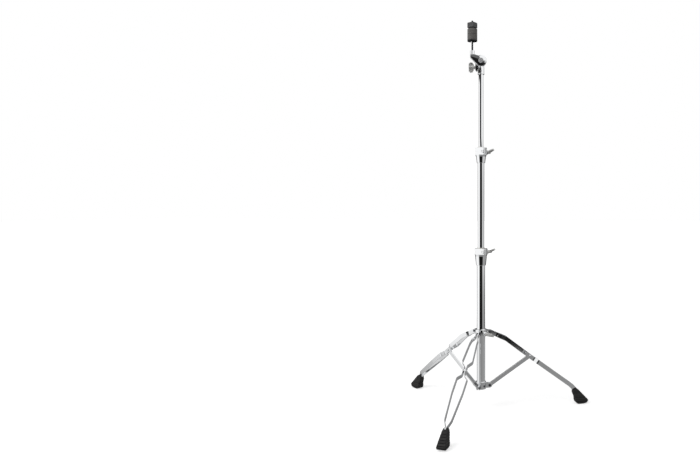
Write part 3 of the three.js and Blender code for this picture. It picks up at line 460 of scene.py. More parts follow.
    def fitted(
        self, place: Matrix, finish: "Finish", *nodes: str, even: bool = True
    ) -> bpy.types.Object:
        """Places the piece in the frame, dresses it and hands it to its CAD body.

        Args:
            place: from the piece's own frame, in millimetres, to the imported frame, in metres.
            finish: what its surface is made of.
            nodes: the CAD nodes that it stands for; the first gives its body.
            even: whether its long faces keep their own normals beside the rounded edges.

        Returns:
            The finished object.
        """
        self.moved(place)
        piece = self.body
        bpy.ops.object.shade_smooth_by_angle(angle=math.radians(SMOOTH_DEG))
        if even:
            self.modified("WEIGHTED_NORMAL", mode="FACE_AREA", weight=50, keep_sharp=True)
        piece.data.materials.clear()
        piece.data.materials.append(material_of(finish))
        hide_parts(*nodes)
        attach(piece, BODY_OF[nodes[0]])
        log.info("%s on %s, %d faces", piece.name, BODY_OF[nodes[0]], len(piece.data.polygons))
        return piece


def linear(code: str) -> tuple[float, float, float, float]:
    """Turns an sRGB hex colour into linear values.

    Args:
        code: a hash sign and six hex digits.

    Returns:
        Red, green and blue, and an alpha of 1.
    """
    channels = [int(code[start : start + 2], 16) / 255 for start in (1, 3, 5)]
    values = [c / 12.92 if c <= 0.04045 else ((c + 0.055) / 1.055) ** 2.4 for c in channels]
    return (*values, 1.0)


def add_node(
    tree: Tree, kind: str, settings: dict | None = None, links: dict | None = None
) -> Node:
    """Adds a node with its settings and links.

    Args:
        tree: the node tree.
        kind: the node's type, without its common beginning.
        settings: values by property or input name, or by input number.
        links: output sockets by input name or number.

    Returns:
        The node.
    """
    node = tree.nodes.new("ShaderNode" + kind)
    for key, value in (settings or {}).items():
        if isinstance(key, int) or key in node.inputs:
            node.inputs[key].default_value = value
        else:
            setattr(node, key, value)
    for key, socket in (links or {}).items():
        tree.links.new(socket, node.inputs[key])
    return node


def ranged(tree: Tree, value: Socket, *limits: float, easing: str = "LINEAR") -> Socket:
    """Maps a value from one range, the first two limits, to another, the last two.

    Args:
        tree: the node tree.
        value: what to map.
        limits: from low, from high, to low and to high.
        easing: the node's interpolation.

    Returns:
        The mapped value.
    """
    names = ("From Min", "From Max", "To Min", "To Max")
    settings = {"interpolation_type": easing, **dict(zip(names, limits))}
    return add_node(tree, "MapRange", settings, {"Value": value}).outputs["Result"]


def mixed(tree: Tree, share: Socket, *colours: str | Socket) -> Socket:
    """Mixes two colours, each an sRGB hex value or a socket, by a share of the second.

    Args:
        tree: the node tree.
        share: of the second colour.
        colours: the two of them.

    Returns:
        The mixed colour.
    """
    settings, links = {"data_type": "RGBA"}, {0: share}
    for slot, colour in zip((6, 7), colours):
        if isinstance(colour, str):
            settings[slot] = linear(colour)
        else:
            links[slot] = colour
    return add_node(tree, "Mix", settings, links).outputs[2]


@dataclass(frozen=True)
class Coat:
    """A material while its finish is laid on; sizes are in millimetres."""

    tree: Tree
    shader: Node

    def put(self, **values: Socket | float | Place) -> None:
        """Sets or links the shader's inputs, named with underscores for spaces.

        Args:
            values: a socket to link or a plain value, by input.
        """
        for name, value in values.items():
            socket = self.shader.inputs[name.replace("_", " ")]
            if isinstance(value, Socket):
                self.tree.links.new(value, socket)
            else:
                socket.default_value = value

    def grain(self, size: float, stretch: Place = (1, 1, 1), detail: float = 3) -> Socket:
        """Adds noise over the piece.

        Args:
            size: of one grain.
            stretch: how much longer the grain is along each axis.
            detail: how many finer layers it has.

        Returns:
            The noise, from 0 to 1.
        """
        place = add_node(self.tree, "TexCoord").outputs["Object"]
        scale = tuple(1 / (size * MM * share) for share in stretch)
        spread = add_node(self.tree, "Mapping", {"Scale": scale}, {"Vector": place})
        settings, links = {"Scale": 1, "Detail": detail}, {"Vector": spread.outputs[0]}
        return add_node(self.tree, "TexNoise", settings, links).outputs["Fac"]

    def ranged(self, value: Socket, *limits: float) -> Socket:
        """Maps a value from one range, the first two limits, to another, the last two."""
        return ranged(self.tree, value, *limits)

    def tinted(self, share: Socket, *colours: str | Socket) -> Socket:
        """Mixes two colours by a share of the second."""
        return mixed(self.tree, share, *colours)

    def combined(self, operation: str, *values: Socket) -> Socket:
        """Combines values by an operation."""
        settings, links = {"operation": operation}, dict(enumerate(values))
        return add_node(self.tree, "Math", settings, links).outputs[0]

    def bumped(self, height: Socket, depth: float, strength: float) -> None:
        """Raises the surface by a pattern, to a depth.

        Args:
            height: the pattern.
            depth: from its lowest to its highest place.
            strength: of the effect, from 0 to 1.
        """
        settings = {"Strength": strength, "Distance": depth * MM}
        bump = add_node(self.tree, "Bump", settings, {"Height": height})
        self.put(Normal=bump.outputs[0])

    def edges(self, low: float, high: float) -> Socket:
        """Gives where the surface is an outer edge, from 0 to 1."""
        point = add_node(self.tree, "NewGeometry").outputs["Pointiness"]
        return self.ranged(point, low, high, 0, 1)


@dataclass(frozen=True)
class Finish:
    """A surface: its name, its colour in sRGB hex, and its roughness."""

    label: str
    colour: str
    roughness: float

    metallic = 0.0

    def build(self) -> bpy.types.Material:
        """Makes the material and adds its detail.

        Returns:
            The material.
        """
        material = bpy.data.materials.new(self.label)
        material.use_nodes = True
        coat = Coat(material.node_tree, material.node_tree.nodes["Principled BSDF"])
        coat.put(Base_Color=linear(self.colour), Roughness=self.roughness, Metallic=self.metallic)
        self.detail(coat)
        return material

    def detail(self, coat: Coat) -> None:
        """Adds the finish's own pattern."""


@lru_cache(maxsize=None)
def material_of(finish: Finish) -> bpy.types.Material:
    """Makes the material of a finish once."""
    return finish.build()


@dataclass(frozen=True)
class ChromePlate(Finish):
    """Polished chrome plate: a mirror with faint handling haze, over the lines of the steel below.

    The plate keeps the drawing lines of a tube, or the grain of a casting, as a slight waver.
    """

    line_size: float = 0.5
    line_stretch: Place = (1, 1, 300)
    waver: float = 0.02
    haze: float = 0.05
    patch_size: float = 24

    metallic = 1.0

    def detail(self, coat: Coat) -> None:
        """Adds haze in patches and the waver of the metal below.

        Args:
            coat: the material's coat.
        """
        hazy = self.roughness + self.haze
        patches = coat.grain(self.patch_size)
        coat.put(Roughness=coat.ranged(patches, 0.4, 0.75, self.roughness, hazy))
        coat.bumped(coat.grain(self.line_size, self.line_stretch, 2), 0.05, self.waver)


@dataclass(frozen=True)
class CastZinc(Finish):
    """Satin plated die-cast zinc: soft grey metal with a fine skin, brighter on handled edges."""

    edge_colour: str = "#D8D8D6"
    patch_colour: str = "#C4C4C2"
    patch_size: float = 6
    skin_size: float = 0.7

    metallic = 1.0

    def detail(self, coat: Coat) -> None:
        """Adds the cast skin, patches of tone and worn edges.

        Args:
            coat: the material's coat.
        """
        patches = coat.tinted(coat.grain(self.patch_size), self.patch_colour, self.colour)
        coat.put(Base_Color=coat.tinted(coat.edges(0.52, 0.62), patches, self.edge_colour))
        skin = coat.grain(self.skin_size, detail=4)
        coat.bumped(skin, 0.08, 0.15)
        limits = (self.roughness - 0.06, self.roughness + 0.08)
        coat.put(Roughness=coat.ranged(skin, 0.3, 0.7, *limits))


@dataclass(frozen=True)
class PlatedSteel(Finish):
    """Zinc plated or blackened steel: fine turning marks, and bare bright metal on the edges."""

    edge_colour: str = "#C9CACB"
    cloud_size: float = 3
    mark_size: float = 0.3

    metallic = 1.0

    def detail(self, coat: Coat) -> None:
        """Adds bright edges, turning marks and a dull cloudiness.

        Args:
            coat: the material's coat.
        """
        coat.put(Base_Color=coat.tinted(coat.edges(0.53, 0.66), self.colour, self.edge_colour))
        limits = (self.roughness - 0.05, self.roughness + 0.1)
        coat.put(Roughness=coat.ranged(coat.grain(self.cloud_size), 0.3, 0.7, *limits))
        coat.bumped(coat.grain(self.mark_size, (4, 4, 1), 2), 0.04, 0.25)


@dataclass(frozen=True)
class MouldedPlastic(Finish):
    """Moulded plastic with a spark-eroded grain, and edges that handling has polished."""

    edge_colour: str = "#4A4A4B"
    grain_size: float = 0.35
    polish: float = 0.12

    def detail(self, coat: Coat) -> None:
        """Adds the grain and the polished edges.

        Args:
            coat: the material's coat.
        """
        edges = coat.edges(0.52, 0.62)
        coat.put(Base_Color=coat.tinted(edges, self.colour, self.edge_colour))
        coat.bumped(coat.grain(self.grain_size, detail=1), 0.05, 0.3)
        coat.put(Roughness=coat.ranged(edges, 0, 1, self.roughness, self.roughness - self.polish))


@dataclass(frozen=True)
class WoolFelt(Finish):
    """Pressed wool felt: matted fibres of several greys, with a soft sheen at grazing angles.

    The fibres are drawn 0.5 mm across, coarser than wool, so that they show.
    """

    light: str = "#7F7C79"
    fibre_size: float = 0.5
    fibre_stretch: float = 5
    patch_size: float = 7

    def detail(self, coat: Coat) -> None:
        """Adds matted fibres along the felt and across it, and darker pressed patches.

        Args:
            coat: the material's coat.
        """
        size, stretch = self.fibre_size, self.fibre_stretch
        along = coat.grain(size, (1, 1, stretch), 4)
        across = coat.grain(size, (stretch, stretch, 1), 4)
        fibres = coat.combined("MAXIMUM", along, across)
        matted = coat.tinted(coat.ranged(fibres, 0.42, 0.72, 0, 1), self.colour, self.light)
        patches = coat.ranged(coat.grain(self.patch_size), 0.35, 0.65, 0.72, 1)
        links = {0: matted, "Scale": patches}
        shade = add_node(coat.tree, "VectorMath", {"operation": "SCALE"}, links).outputs[0]
        coat.put(Base_Color=shade, Sheen_Weight=0.35, Sheen_Roughness=0.6, Specular_IOR_Level=0.1)
        coat.bumped(fibres, 0.5, 0.9)


@dataclass(frozen=True)
class MouldedRubber(Finish):
    """Moulded rubber: dull black, greyer where dust and wear lie on the ribs."""

    dust: str = "#454442"
    speck_size: float = 1.2
    pit_size: float = 0.5

    def detail(self, coat: Coat) -> None:
        """Adds dust on the ribs and a fine pitted skin.

        Args:
            coat: the material's coat.
        """
        specks = coat.grain(self.speck_size, detail=5)
        cover = coat.combined("MULTIPLY", specks, coat.edges(0.5, 0.6))
        shade = coat.tinted(cover, self.colour, self.dust)
        coat.put(Base_Color=shade, Specular_IOR_Level=0.3)
        coat.bumped(coat.grain(self.pit_size, detail=2), 0.1, 0.4)


@dataclass(frozen=True)
class NaturalNylon(Finish):
    """Natural nylon: milky white that lets a little light through."""

    cloud_colour: str = "#D6D4CB"
    cloud_size: float = 3
    skin_size: float = 0.8
    glow_reach: Place = (0.002, 0.002, 0.0015)

    def detail(self, coat: Coat) -> None:
        """Adds a faint cloudiness and the glow of light inside.

        Args:
            coat: the material's coat.
        """
        clouds = coat.tinted(coat.grain(self.cloud_size), self.cloud_colour, self.colour)
        coat.put(Base_Color=clouds, Subsurface_Weight=0.15, Subsurface_Radius=self.glow_reach)
        coat.bumped(coat.grain(self.skin_size), 0.03, 0.08)


TUBE_CHROME = ChromePlate("chrome_on_drawn_tube", "#F0F1F2", 0.02, waver=0.004, haze=0.02)
CAST_CHROME = ChromePlate("chrome_on_die_casting", "#EDEEEF", 0.03, 1.2, (1, 1, 1), 0.015, 0.02)
STRIP_CHROME = ChromePlate("chrome_on_flat_strip", "#E6E7E8", 0.08, 0.6, (6, 6, 1), 0.04, 0.08)
BOLT_CHROME = ChromePlate("chrome_on_turned_steel", "#E2E3E4", 0.07, 0.4, (3, 3, 1), 0.05)
CAST_ZINC = CastZinc("satin_die_cast_zinc", "#E6E6E4", 0.58, "#F4F4F2")
ZINC_STEEL = PlatedSteel("zinc_plated_steel", "#D0D1D2", 0.42, "#E6E7E8")
PIN_STEEL = PlatedSteel("burnished_steel", "#5F6063", 0.34, "#8E8F92")
BLACK_STEEL = PlatedSteel("blackened_threaded_steel", "#55565A", 0.36, "#9B9C9F")
BLACK_ABS = MouldedPlastic("black_moulded_abs", "#3A3A3B", 0.5, "#5A5A5B")
BLACK_NYLON = MouldedPlastic("black_moulded_nylon", "#1E1E1F", 0.38)
SOFT_SLEEVE = MouldedPlastic("flexible_pvc_sleeve", "#1C1C1D", 0.5)
FIBRE = MouldedPlastic("pressed_fibre_washer", "#35312C", 0.8, "#4A453F", 0.8)
FELT = WoolFelt("pressed_wool_felt", "#454341", 0.95)
RUBBER = MouldedRubber("moulded_black_rubber", "#1A1A1B", 0.66)
NYLON = NaturalNylon("natural_nylon", "#E9E8E2", 0.4)
BRASS = PlatedSteel("machined_brass", "#B8954F", 0.28, "#E0C88C")


@dataclass(frozen=True)
class Tube:
    """One of the column's telescoping tubes, cut square with its ends eased."""

    name: str
    radius: float
    bottom: float
    top: float
    wall: float = 1.5
    ease: float = 0.5

    def build(self) -> None:
        """Turns the tube and fits it."""
        profile = washer(self.radius - self.wall, self.radius, self.bottom, self.top, self.ease)
        tube = Blank.turned(self.name + "_chromed", profile, steps=TUBE_STEPS)
        tube.fitted(COLUMN, TUBE_CHROME, self.name)


@dataclass(frozen=True)
class Wings:
    """The wings and hub of a wing nut or wing screw; its axis is X and x = 0 is its seat."""

    neck: float
    depth: float = 18.5
    half_span: float = 17
    thickness: float = 5
    hub_radius: float = 5.5
    recess: float = 1.5

    # Corners in shares of the depth and the half span, and their radii in millimetres.
    wing_shares = (
        (0.04, 0.3, 2), (0.08, 0.6, 3), (0.3, 0.96, 3), (0.7, 1, 3), (0.96, 0.76, 3),
        (0.985, 0.3, 2)
    )
    pocket_shares = ((0.2, 0.4), (0.36, 0.84), (0.66, 0.87), (0.84, 0.68), (0.84, 0.4))

    def corners(self, shares: Sequence[Corner]) -> list[Corner]:
        """Gives corners in millimetres from shares; a radius stays as it is."""
        return [(self.neck + self.depth * x, self.half_span * z, *ease) for x, z, *ease in shares]

    def blade(self) -> Blank:
        """Makes both wings as one plate through the hub, with a pocket in each face of each.

        Returns:
            The plate with its pockets.
        """
        wing = self.corners(self.wing_shares)
        pocket = [(x, z, 1.5) for x, z in self.corners(self.pocket_shares)]
        half = self.thickness / 2
        blade = Blank.plate("blade", mirrored(wing, y=-1), -half, half)
        over = Blank.plate("pocket", pocket, half - self.recess, half + OVERRUN)
        under = Blank.plate("pocket", pocket, -half - OVERRUN, self.recess - half)
        turned = [tool.copied("pocket").moved(turned_by(180, "X")) for tool in (over, under)]
        return blade.cut(over, under, *turned).rounded(0.4, 2, 30)

    def blank(self, name: str) -> Blank:
        """Makes the hub and both wings in one piece.

        Args:
            name: the piece's name.

        Returns:
            The wings, before a hole or screw is added.
        """
        end, radius = self.neck + self.depth, self.hub_radius
        profile = [
            (0, 0), (radius, 0, 0.5), (radius, self.neck * 0.9, 1), (radius - 0.4, end, 1.4),
            (0, end)
        ]
        return Blank.turned(name, profile, Along.X, FINE_STEPS).joined(self.blade())


@dataclass(frozen=True)
class HeightClamp:
    """A height clamp: a casting on the outer tube, a bush round the inner one, and the bolt."""

    label: str
    outer_radius: float
    inner_radius: float
    skirt: float
    head: float
    height: float
    head_wall: float = 7.8
    skirt_wall: float = 2.8
    shoulder_wall: float = 5.4
    shoulder: float = 3
    waist: float = 1.3
    near_wall: float = 1.6
    bush_wall: float = 1.5
    bush_flange: float = 3
    flange_height: float = 2
    lug_deg: float = -32
    lug_half: float = 10
    lug_wall: float = 1.8
    half_slit: float = 1
    nut_seat_radius: float = 6.1
    bolt_radius: float = 2.5
    bolt_wall: float = 0.8
    bolt_head_radius: float = 5.5
    bolt_head_height: float = 3.5
    wing_depth: float = 16
    wing_half_span: float = 22
    wing_tilt_deg: float = 65

    @property
    def head_radius(self) -> float:
        """Outside of the split head."""
        return self.outer_radius + self.head_wall

    @property
    def bush_inner(self) -> float:
        """Inside of the bush."""
        return self.inner_radius + CLEARANCE

    @property
    def bush_bore(self) -> float:
        """Bore of the casting round the bush."""
        return self.bush_inner + self.bush_wall + CLEARANCE

    @property
    def near_face(self) -> float:
        """From the tubes' axis to the head's flat near side."""
        return self.bush_bore + self.near_wall

    @property
    def bolt_hole(self) -> float:
        """Radius of the bolt's hole."""
        return self.bolt_radius + CLEARANCE

    @property
    def bolt_reach(self) -> float:
        """From the tubes' axis to the bolt."""
        return self.bush_bore + self.bolt_wall + self.bolt_hole

    @property
    def nut_seat(self) -> float:
        """From the bolt's middle to the seat of the wing nut."""
        return self.lug_half + CLEARANCE

    @property
    def nut_neck(self) -> float:
        """Length of the wing nut's neck."""
        return self.head_radius - self.lug_half + CLEARANCE

    def casting(self) -> Blank:
        """Makes the casting: skirt, waisted head with a flat near side, and split lug.

        Returns:
            The casting, in the clamp's frame.
        """
        radius, low, high, near = self.head_radius, -self.skirt, self.head, self.near_face
        outer, rise, half, over = self.outer_radius, self.shoulder, self.lug_half, high + OVERRUN
        profile = [
            (0, low), (outer + self.skirt_wall, low, 0.9),
            (outer + self.shoulder_wall, -rise, 3), (radius, rise, 2),
            (radius - self.waist, high / 2, 14), (radius, high, 0.7), (0, high)
        ]
        reach = self.bolt_reach + self.bolt_hole + self.lug_wall
        corners = [(0, -near), (reach, -near, 1), (reach, half, 2), (0, half)]
        lug = Blank.plate("lug", corners, rise, high - 1.5, Lay.FLAT).rounded(0.7, 2, 60)
        outside = radius + OVERRUN
        front_corners = oblong(-outside, -outside, outside, -near)
        front = Blank.plate("front", front_corners, rise, over, Lay.FLAT)
        slit_corners = oblong(0, -self.half_slit, reach + OVERRUN, self.half_slit)
        at_bolt = shifted(self.bolt_reach, 0, high / 2)
        tools = [
            Blank.plate("slit", slit_corners, 0, over, Lay.FLAT),
            Blank.rod(self.bolt_hole, -reach, reach, Along.Y).moved(at_bolt),
            Blank.rod(self.nut_seat_radius, half, outside, Along.Y).moved(at_bolt)
        ]
        lug_turn = turned_by(self.lug_deg)
        body = Blank.turned(self.label + "_clamp_casting", profile)
        body.cut(front.moved(lug_turn)).joined(lug.moved(lug_turn))
        tube = Blank.rod(outer + CLEARANCE, low - CLEARANCE, CLEARANCE, steps=TURN_STEPS)
        bush = Blank.rod(self.bush_bore, -OVERRUN, over, steps=TURN_STEPS)
        return body.cut(tube, bush, *(tool.moved(lug_turn) for tool in tools))

    def bush(self) -> Blank:
        """Makes the nylon bush with its flange.

        Returns:
            The bush, in the clamp's frame.
        """
        inner, seat = self.bush_inner, self.head + CLEARANCE
        outer, flange = inner + self.bush_wall, inner + self.bush_flange
        top = seat + self.flange_height
        profile = [
            (inner, CLEARANCE, 0.2), (outer, CLEARANCE, 0.2), (outer, seat), (flange, seat, 0.2),
            (flange, top, 0.8), (inner, top, 0.4)
        ]
        return Blank.turned(self.label + "_clamp_nylon_bush", profile)

    def bolt(self) -> Blank:
        """Makes the clamp bolt with a dished button head.

        Returns:
            The bolt, along Y, with y = 0 level with the tubes' axis.
        """
        seat = -self.near_face - CLEARANCE
        face = seat - self.bolt_head_height
        end = self.nut_seat + self.nut_neck + self.wing_depth
        head, shank = self.bolt_head_radius, self.bolt_radius
        profile = [
            (0, face + 0.5), (head - 2.2, face + 0.5, 0.2), (head - 1.7, face, 0.3),
            (head, face + 0.2, 0.7), (head, seat, 0.2), (shank, seat, 0.2), (shank, end, 0.5),
            (0, end)
        ]
        return Blank.turned(self.label + "_clamp_button_bolt", profile, Along.Y, FINE_STEPS)

    def wing_nut(self) -> Blank:
        """Makes the wing nut behind the clamp.

        Returns:
            The nut, in the bolt's frame.
        """
        wings = Wings(self.nut_neck, self.wing_depth, self.wing_half_span)
        nut = wings.blank(self.label + "_clamp_cast_wing_nut")
        nut.cut(Blank.bore(self.bolt_radius, 0, self.nut_neck + self.wing_depth, Along.X))
        place = shifted(0, self.nut_seat, 0) @ turned_by(90)
        return nut.moved(place @ turned_by(self.wing_tilt_deg, "X"))

    def build(self) -> None:
        """Makes the clamp's pieces and fits them."""
        place = FACING @ shifted(0, 0, self.height)
        bolt_place = place @ turned_by(self.lug_deg) @ shifted(self.bolt_reach, 0, self.head / 2)
        self.casting().fitted(place, CAST_CHROME, self.label + "_clamp")
        self.bush().fitted(place, NYLON, self.label + "_clamp_bush")
        self.bolt().fitted(bolt_place, BOLT_CHROME, self.label + "_clamp_bolt")
        self.wing_nut().fitted(bolt_place, CAST_ZINC, self.label + "_clamp_wing_nut")


@dataclass(frozen=True)
class Tilter:
    """The tilter, measured from its pivot: the base on the upper tube, the arm and the pivot."""

    height: float
    arm_radius: float = 19
    arm_thickness: float = 10
    arm_left_bottom: float = 10.5
    arm_slope_start: float = -7.5
    rod_offset: float = 29.3
    rod_forward: float = 2.5
    boss_radius: float = 7.5
    boss_top: float = 34.5
    socket_depth: float = 13
    cheek_front: float = 1.6
    cheek_back: float = 9.6
    cheek_radius: float = 18
    ferrule_radius: float = 10.75
    ferrule_height: float = 26.4
    tube_top: float = -21.7
    lug_reach: float = 19.3
    lug_drop: float = 34
    screw_drop: float = 20.8
    screw_depth: float = 8
    set_screw_radius: float = 2.5
    pivot_radius: float = 4
    head_radius: float = 8.65
    head_height: float = 3
    socket_rim: float = 5.8
    hexagon_radius: float = 7.5
    hexagon_height: float = 6
    disc_radius: float = 16
    step: float = 0.15

    @property
    def place(self) -> Matrix:
        """The tilter's place in the frame."""
        return FACING @ shifted(0, 0, self.height)

    @property
    def ferrule_top(self) -> float:
        """Top of the ferrule, just under the arm's disc."""
        return -self.arm_radius - CLEARANCE

    @property
    def set_screw_height(self) -> float:
        """Height of the set screw, two fifths up the ferrule."""
        return self.ferrule_top - self.ferrule_height * 0.6

    @property
    def cheek_middle(self) -> float:
        """From the arm's back to the middle of the cheek's thickness."""
        return (self.cheek_front + self.cheek_back) / 2

    def arm_outline(self) -> list[Corner]:
        """Gives the arm's outline: left side, tangent to the disc, round it, and the top slope.

        Returns:
            The corners, from the upper left one.
        """
        radius, bottom = self.arm_radius, self.arm_left_bottom
        left = -self.rod_offset - self.boss_radius
        start = math.atan2(bottom, left) + math.acos(radius / math.hypot(left, bottom))
        top_x = self.arm_slope_start
        top_z = math.sqrt(radius**2 - top_x**2)
        sweep = (math.atan2(top_z, top_x) - start) % math.tau
        shoulder_x = left + self.boss_radius * 2
        shoulder_z = top_z + (top_x - shoulder_x) * math.tan(math.radians(FACING_DEG))
        disc = arc(radius, start, sweep, 64)
        return [(left, shoulder_z), (left, bottom, 6), *disc, (shoulder_x, shoulder_z, 2)]

    def arm(self) -> Blank:
        """Makes the arm with its chamfered rim and the boss of the rod.

        Returns:
            The arm, in the tilter's frame.
        """
        plate = Blank.plate("tilter_arm_casting", self.arm_outline(), -self.arm_thickness, 0)
        plate.rounded(1.5, 3, 50)
        low, high = self.arm_left_bottom + self.boss_radius, self.boss_top
        profile = solid(self.boss_radius - self.step, low, high, 1.2, 1.1)
        socket = Blank.rod(SCREW_RADIUS + CLEARANCE, high - self.socket_depth, high + OVERRUN)
        at_rod = shifted(-self.rod_offset, -self.rod_forward, 0)
        hole = Blank.bore(self.pivot_radius, -self.arm_thickness, 0, Along.Y)
        plate.joined(Blank.turned("boss", profile).moved(at_rod))
        return plate.cut(socket.moved(at_rod), hole)

    def lug(self) -> Blank:
        """Makes the wing screw's lug.

        Returns:
            The lug, before its hole.
        """
        left, bottom, top = -self.lug_reach, -self.lug_drop, self.ferrule_top
        middle = left + 5
        corners = [
            (left, bottom + 5, 2.5), (middle - 2.5, bottom, 2), (middle + 2.5, bottom, 2),
            (2 * CLEARANCE - self.ferrule_radius, bottom + 10, 3), (0, top - 2), (0, -2),
            (middle, 0), (left, -5, 2)
        ]
        front, back = self.cheek_front + self.step, self.cheek_back - self.step
        return Blank.plate("lug", corners, front, back).rounded(1, 3, 60)

    def base(self) -> Blank:
        """Makes the base casting: ferrule, cheek, neck and the wing screw's lug.

        Returns:
            The base, in the tilter's frame.
        """
        top, radius, height = self.ferrule_top, self.ferrule_radius, self.ferrule_height
        bottom, lip, front, back = top - height, radius + 0.8, self.cheek_front, self.cheek_back
        ferrule_profile = [
            (0, bottom), (lip, bottom, 0.6), (lip, bottom + 2, 0.6), (radius, bottom + 2.8, 0.8),
            (radius, top, 1.2), (0, top)
        ]
        ferrule = Blank.turned("tilter_base_casting", ferrule_profile)
        cheek_profile = solid(self.cheek_radius, front, back, 0.8, 1.8)
        cheek = Blank.turned("cheek", cheek_profile, Along.Y)
        half, step = radius - CLEARANCE, self.step
        neck_corners = oblong(-half, top - 8, half, -step)
        neck = Blank.plate("neck", neck_corners, front + 2 * step, back - 2 * step)
        bore, left = SCREW_RADIUS + CLEARANCE, -self.lug_reach
        hole = Blank.rod(bore, left - OVERRUN, left + self.screw_depth + CLEARANCE, Along.X)
        tube_end = self.tube_top + CLEARANCE
        tube = Blank.rod(UPPER_RADIUS + CLEARANCE, tube_end - height, tube_end, steps=TURN_STEPS)
        set_hole = Blank.rod(self.set_screw_radius + CLEARANCE, -radius * 2, 0, Along.Y)
        return ferrule.joined(cheek, neck.rounded(1, 2, 60), self.lug()).cut(
            Blank.bore(self.pivot_radius, front, back, Along.Y),
            hole.moved(shifted(0, self.cheek_middle, -self.screw_drop)), tube,
            set_hole.moved(shifted(0, 0, self.set_screw_height))
        )

    def pivot_bolt(self) -> Blank:
        """Makes the pivot bolt: a flat rim round a raised boss with a hexagon socket.

        Returns:
            The bolt, in the tilter's frame.
        """
        seat = -self.arm_thickness - CLEARANCE
        face = seat - self.head_height
        end = self.cheek_back + CLEARANCE + self.hexagon_height
        head, shank, rim = self.head_radius, self.pivot_radius, self.socket_rim
        profile = [
            (0, face), (rim, face, 0.5), (rim + 0.1, face + 0.9, 0.2),
            (head - 0.5, face + 0.8, 0.4), (head, face + 1.4, 0.4), (head, seat, 0.2),
            (shank, seat, 0.2), (shank, end, 0.6), (0, end)
        ]
        bolt = Blank.turned("pivot_socket_bolt", profile, Along.Y)
        return bolt.cut(Blank.rod(2, face - OVERRUN, face + 2, Along.Y, steps=6))

    def pivot_nut(self) -> Blank:
        """Makes the hexagon nut with its chamfered corners.

        Returns:
            The nut, in the tilter's frame.
        """
        front, radius = self.cheek_back + CLEARANCE, self.hexagon_radius
        back = front + self.hexagon_height
        nut = Blank.rod(radius, front, back, Along.Y, steps=6)
        nut.body.name = "pivot_hexagon_nut"
        flat, outside = radius - 0.6, radius + 0.1
        chamfer_profile = [
            (0, front), (flat, front), (outside, front + 0.6), (outside, back - 0.6), (flat, back),
            (0, back)
        ]
        nut.common(Blank.turned("chamfer", chamfer_profile, Along.Y))
        return nut.cut(Blank.bore(self.pivot_radius, front, back, Along.Y))

    def friction_disc(self) -> Blank:
        """Makes the washer between arm and cheek.

        Returns:
            The washer, in the tilter's frame.
        """
        inner, front = self.pivot_radius + CLEARANCE, CLEARANCE
        profile = washer(inner, self.disc_radius, front, front + 1, 0.15)
        return Blank.turned("pressed_friction_disc", profile, Along.Y)

    def wing_screw(self) -> Blank:
        """Makes the wing screw left of the lug.

        Returns:
            The screw, in the tilter's frame.
        """
        screw = Wings(4).blank("tilter_cast_wing_screw")
        screw.joined(Blank.rod(SCREW_RADIUS, -self.screw_depth - CLEARANCE, 4, Along.X))
        place = shifted(-self.lug_reach - CLEARANCE, self.cheek_middle, -self.screw_drop)
        return screw.moved(place @ turned_by(180))

    def set_screw(self) -> Blank:
        """Makes the ferrule's set screw with its hexagon socket.

        Returns:
            The screw, in the tilter's frame.
        """
        front, back = -self.ferrule_radius, -UPPER_RADIUS - CLEARANCE
        radius = self.set_screw_radius
        profile = solid(radius, front, back, 0.5, 0.3)
        screw = Blank.turned("ferrule_socket_screw", profile, Along.Y, FINE_STEPS)
        screw.cut(Blank.rod(radius / 2, front - OVERRUN, front + 1.4, Along.Y, steps=6))
        return screw.moved(shifted(0, 0, self.set_screw_height))

    def build(self) -> None:
        """Makes the tilter's pieces and fits them."""
        place = self.place
        self.arm().fitted(place, CAST_CHROME, "tilter_arm", even=False)
        self.base().fitted(place, CAST_CHROME, "tilter_base")
        self.pivot_bolt().fitted(place, ZINC_STEEL, "pivot_bolt")
        self.pivot_nut().fitted(place, ZINC_STEEL, "pivot_nut")
        self.friction_disc().fitted(place, FIBRE, "friction_disc")
        self.wing_screw().fitted(place, CAST_ZINC, "tilter_wing_screw")
        self.set_screw().fitted(place, ZINC_STEEL, "ferrule_set_screw")


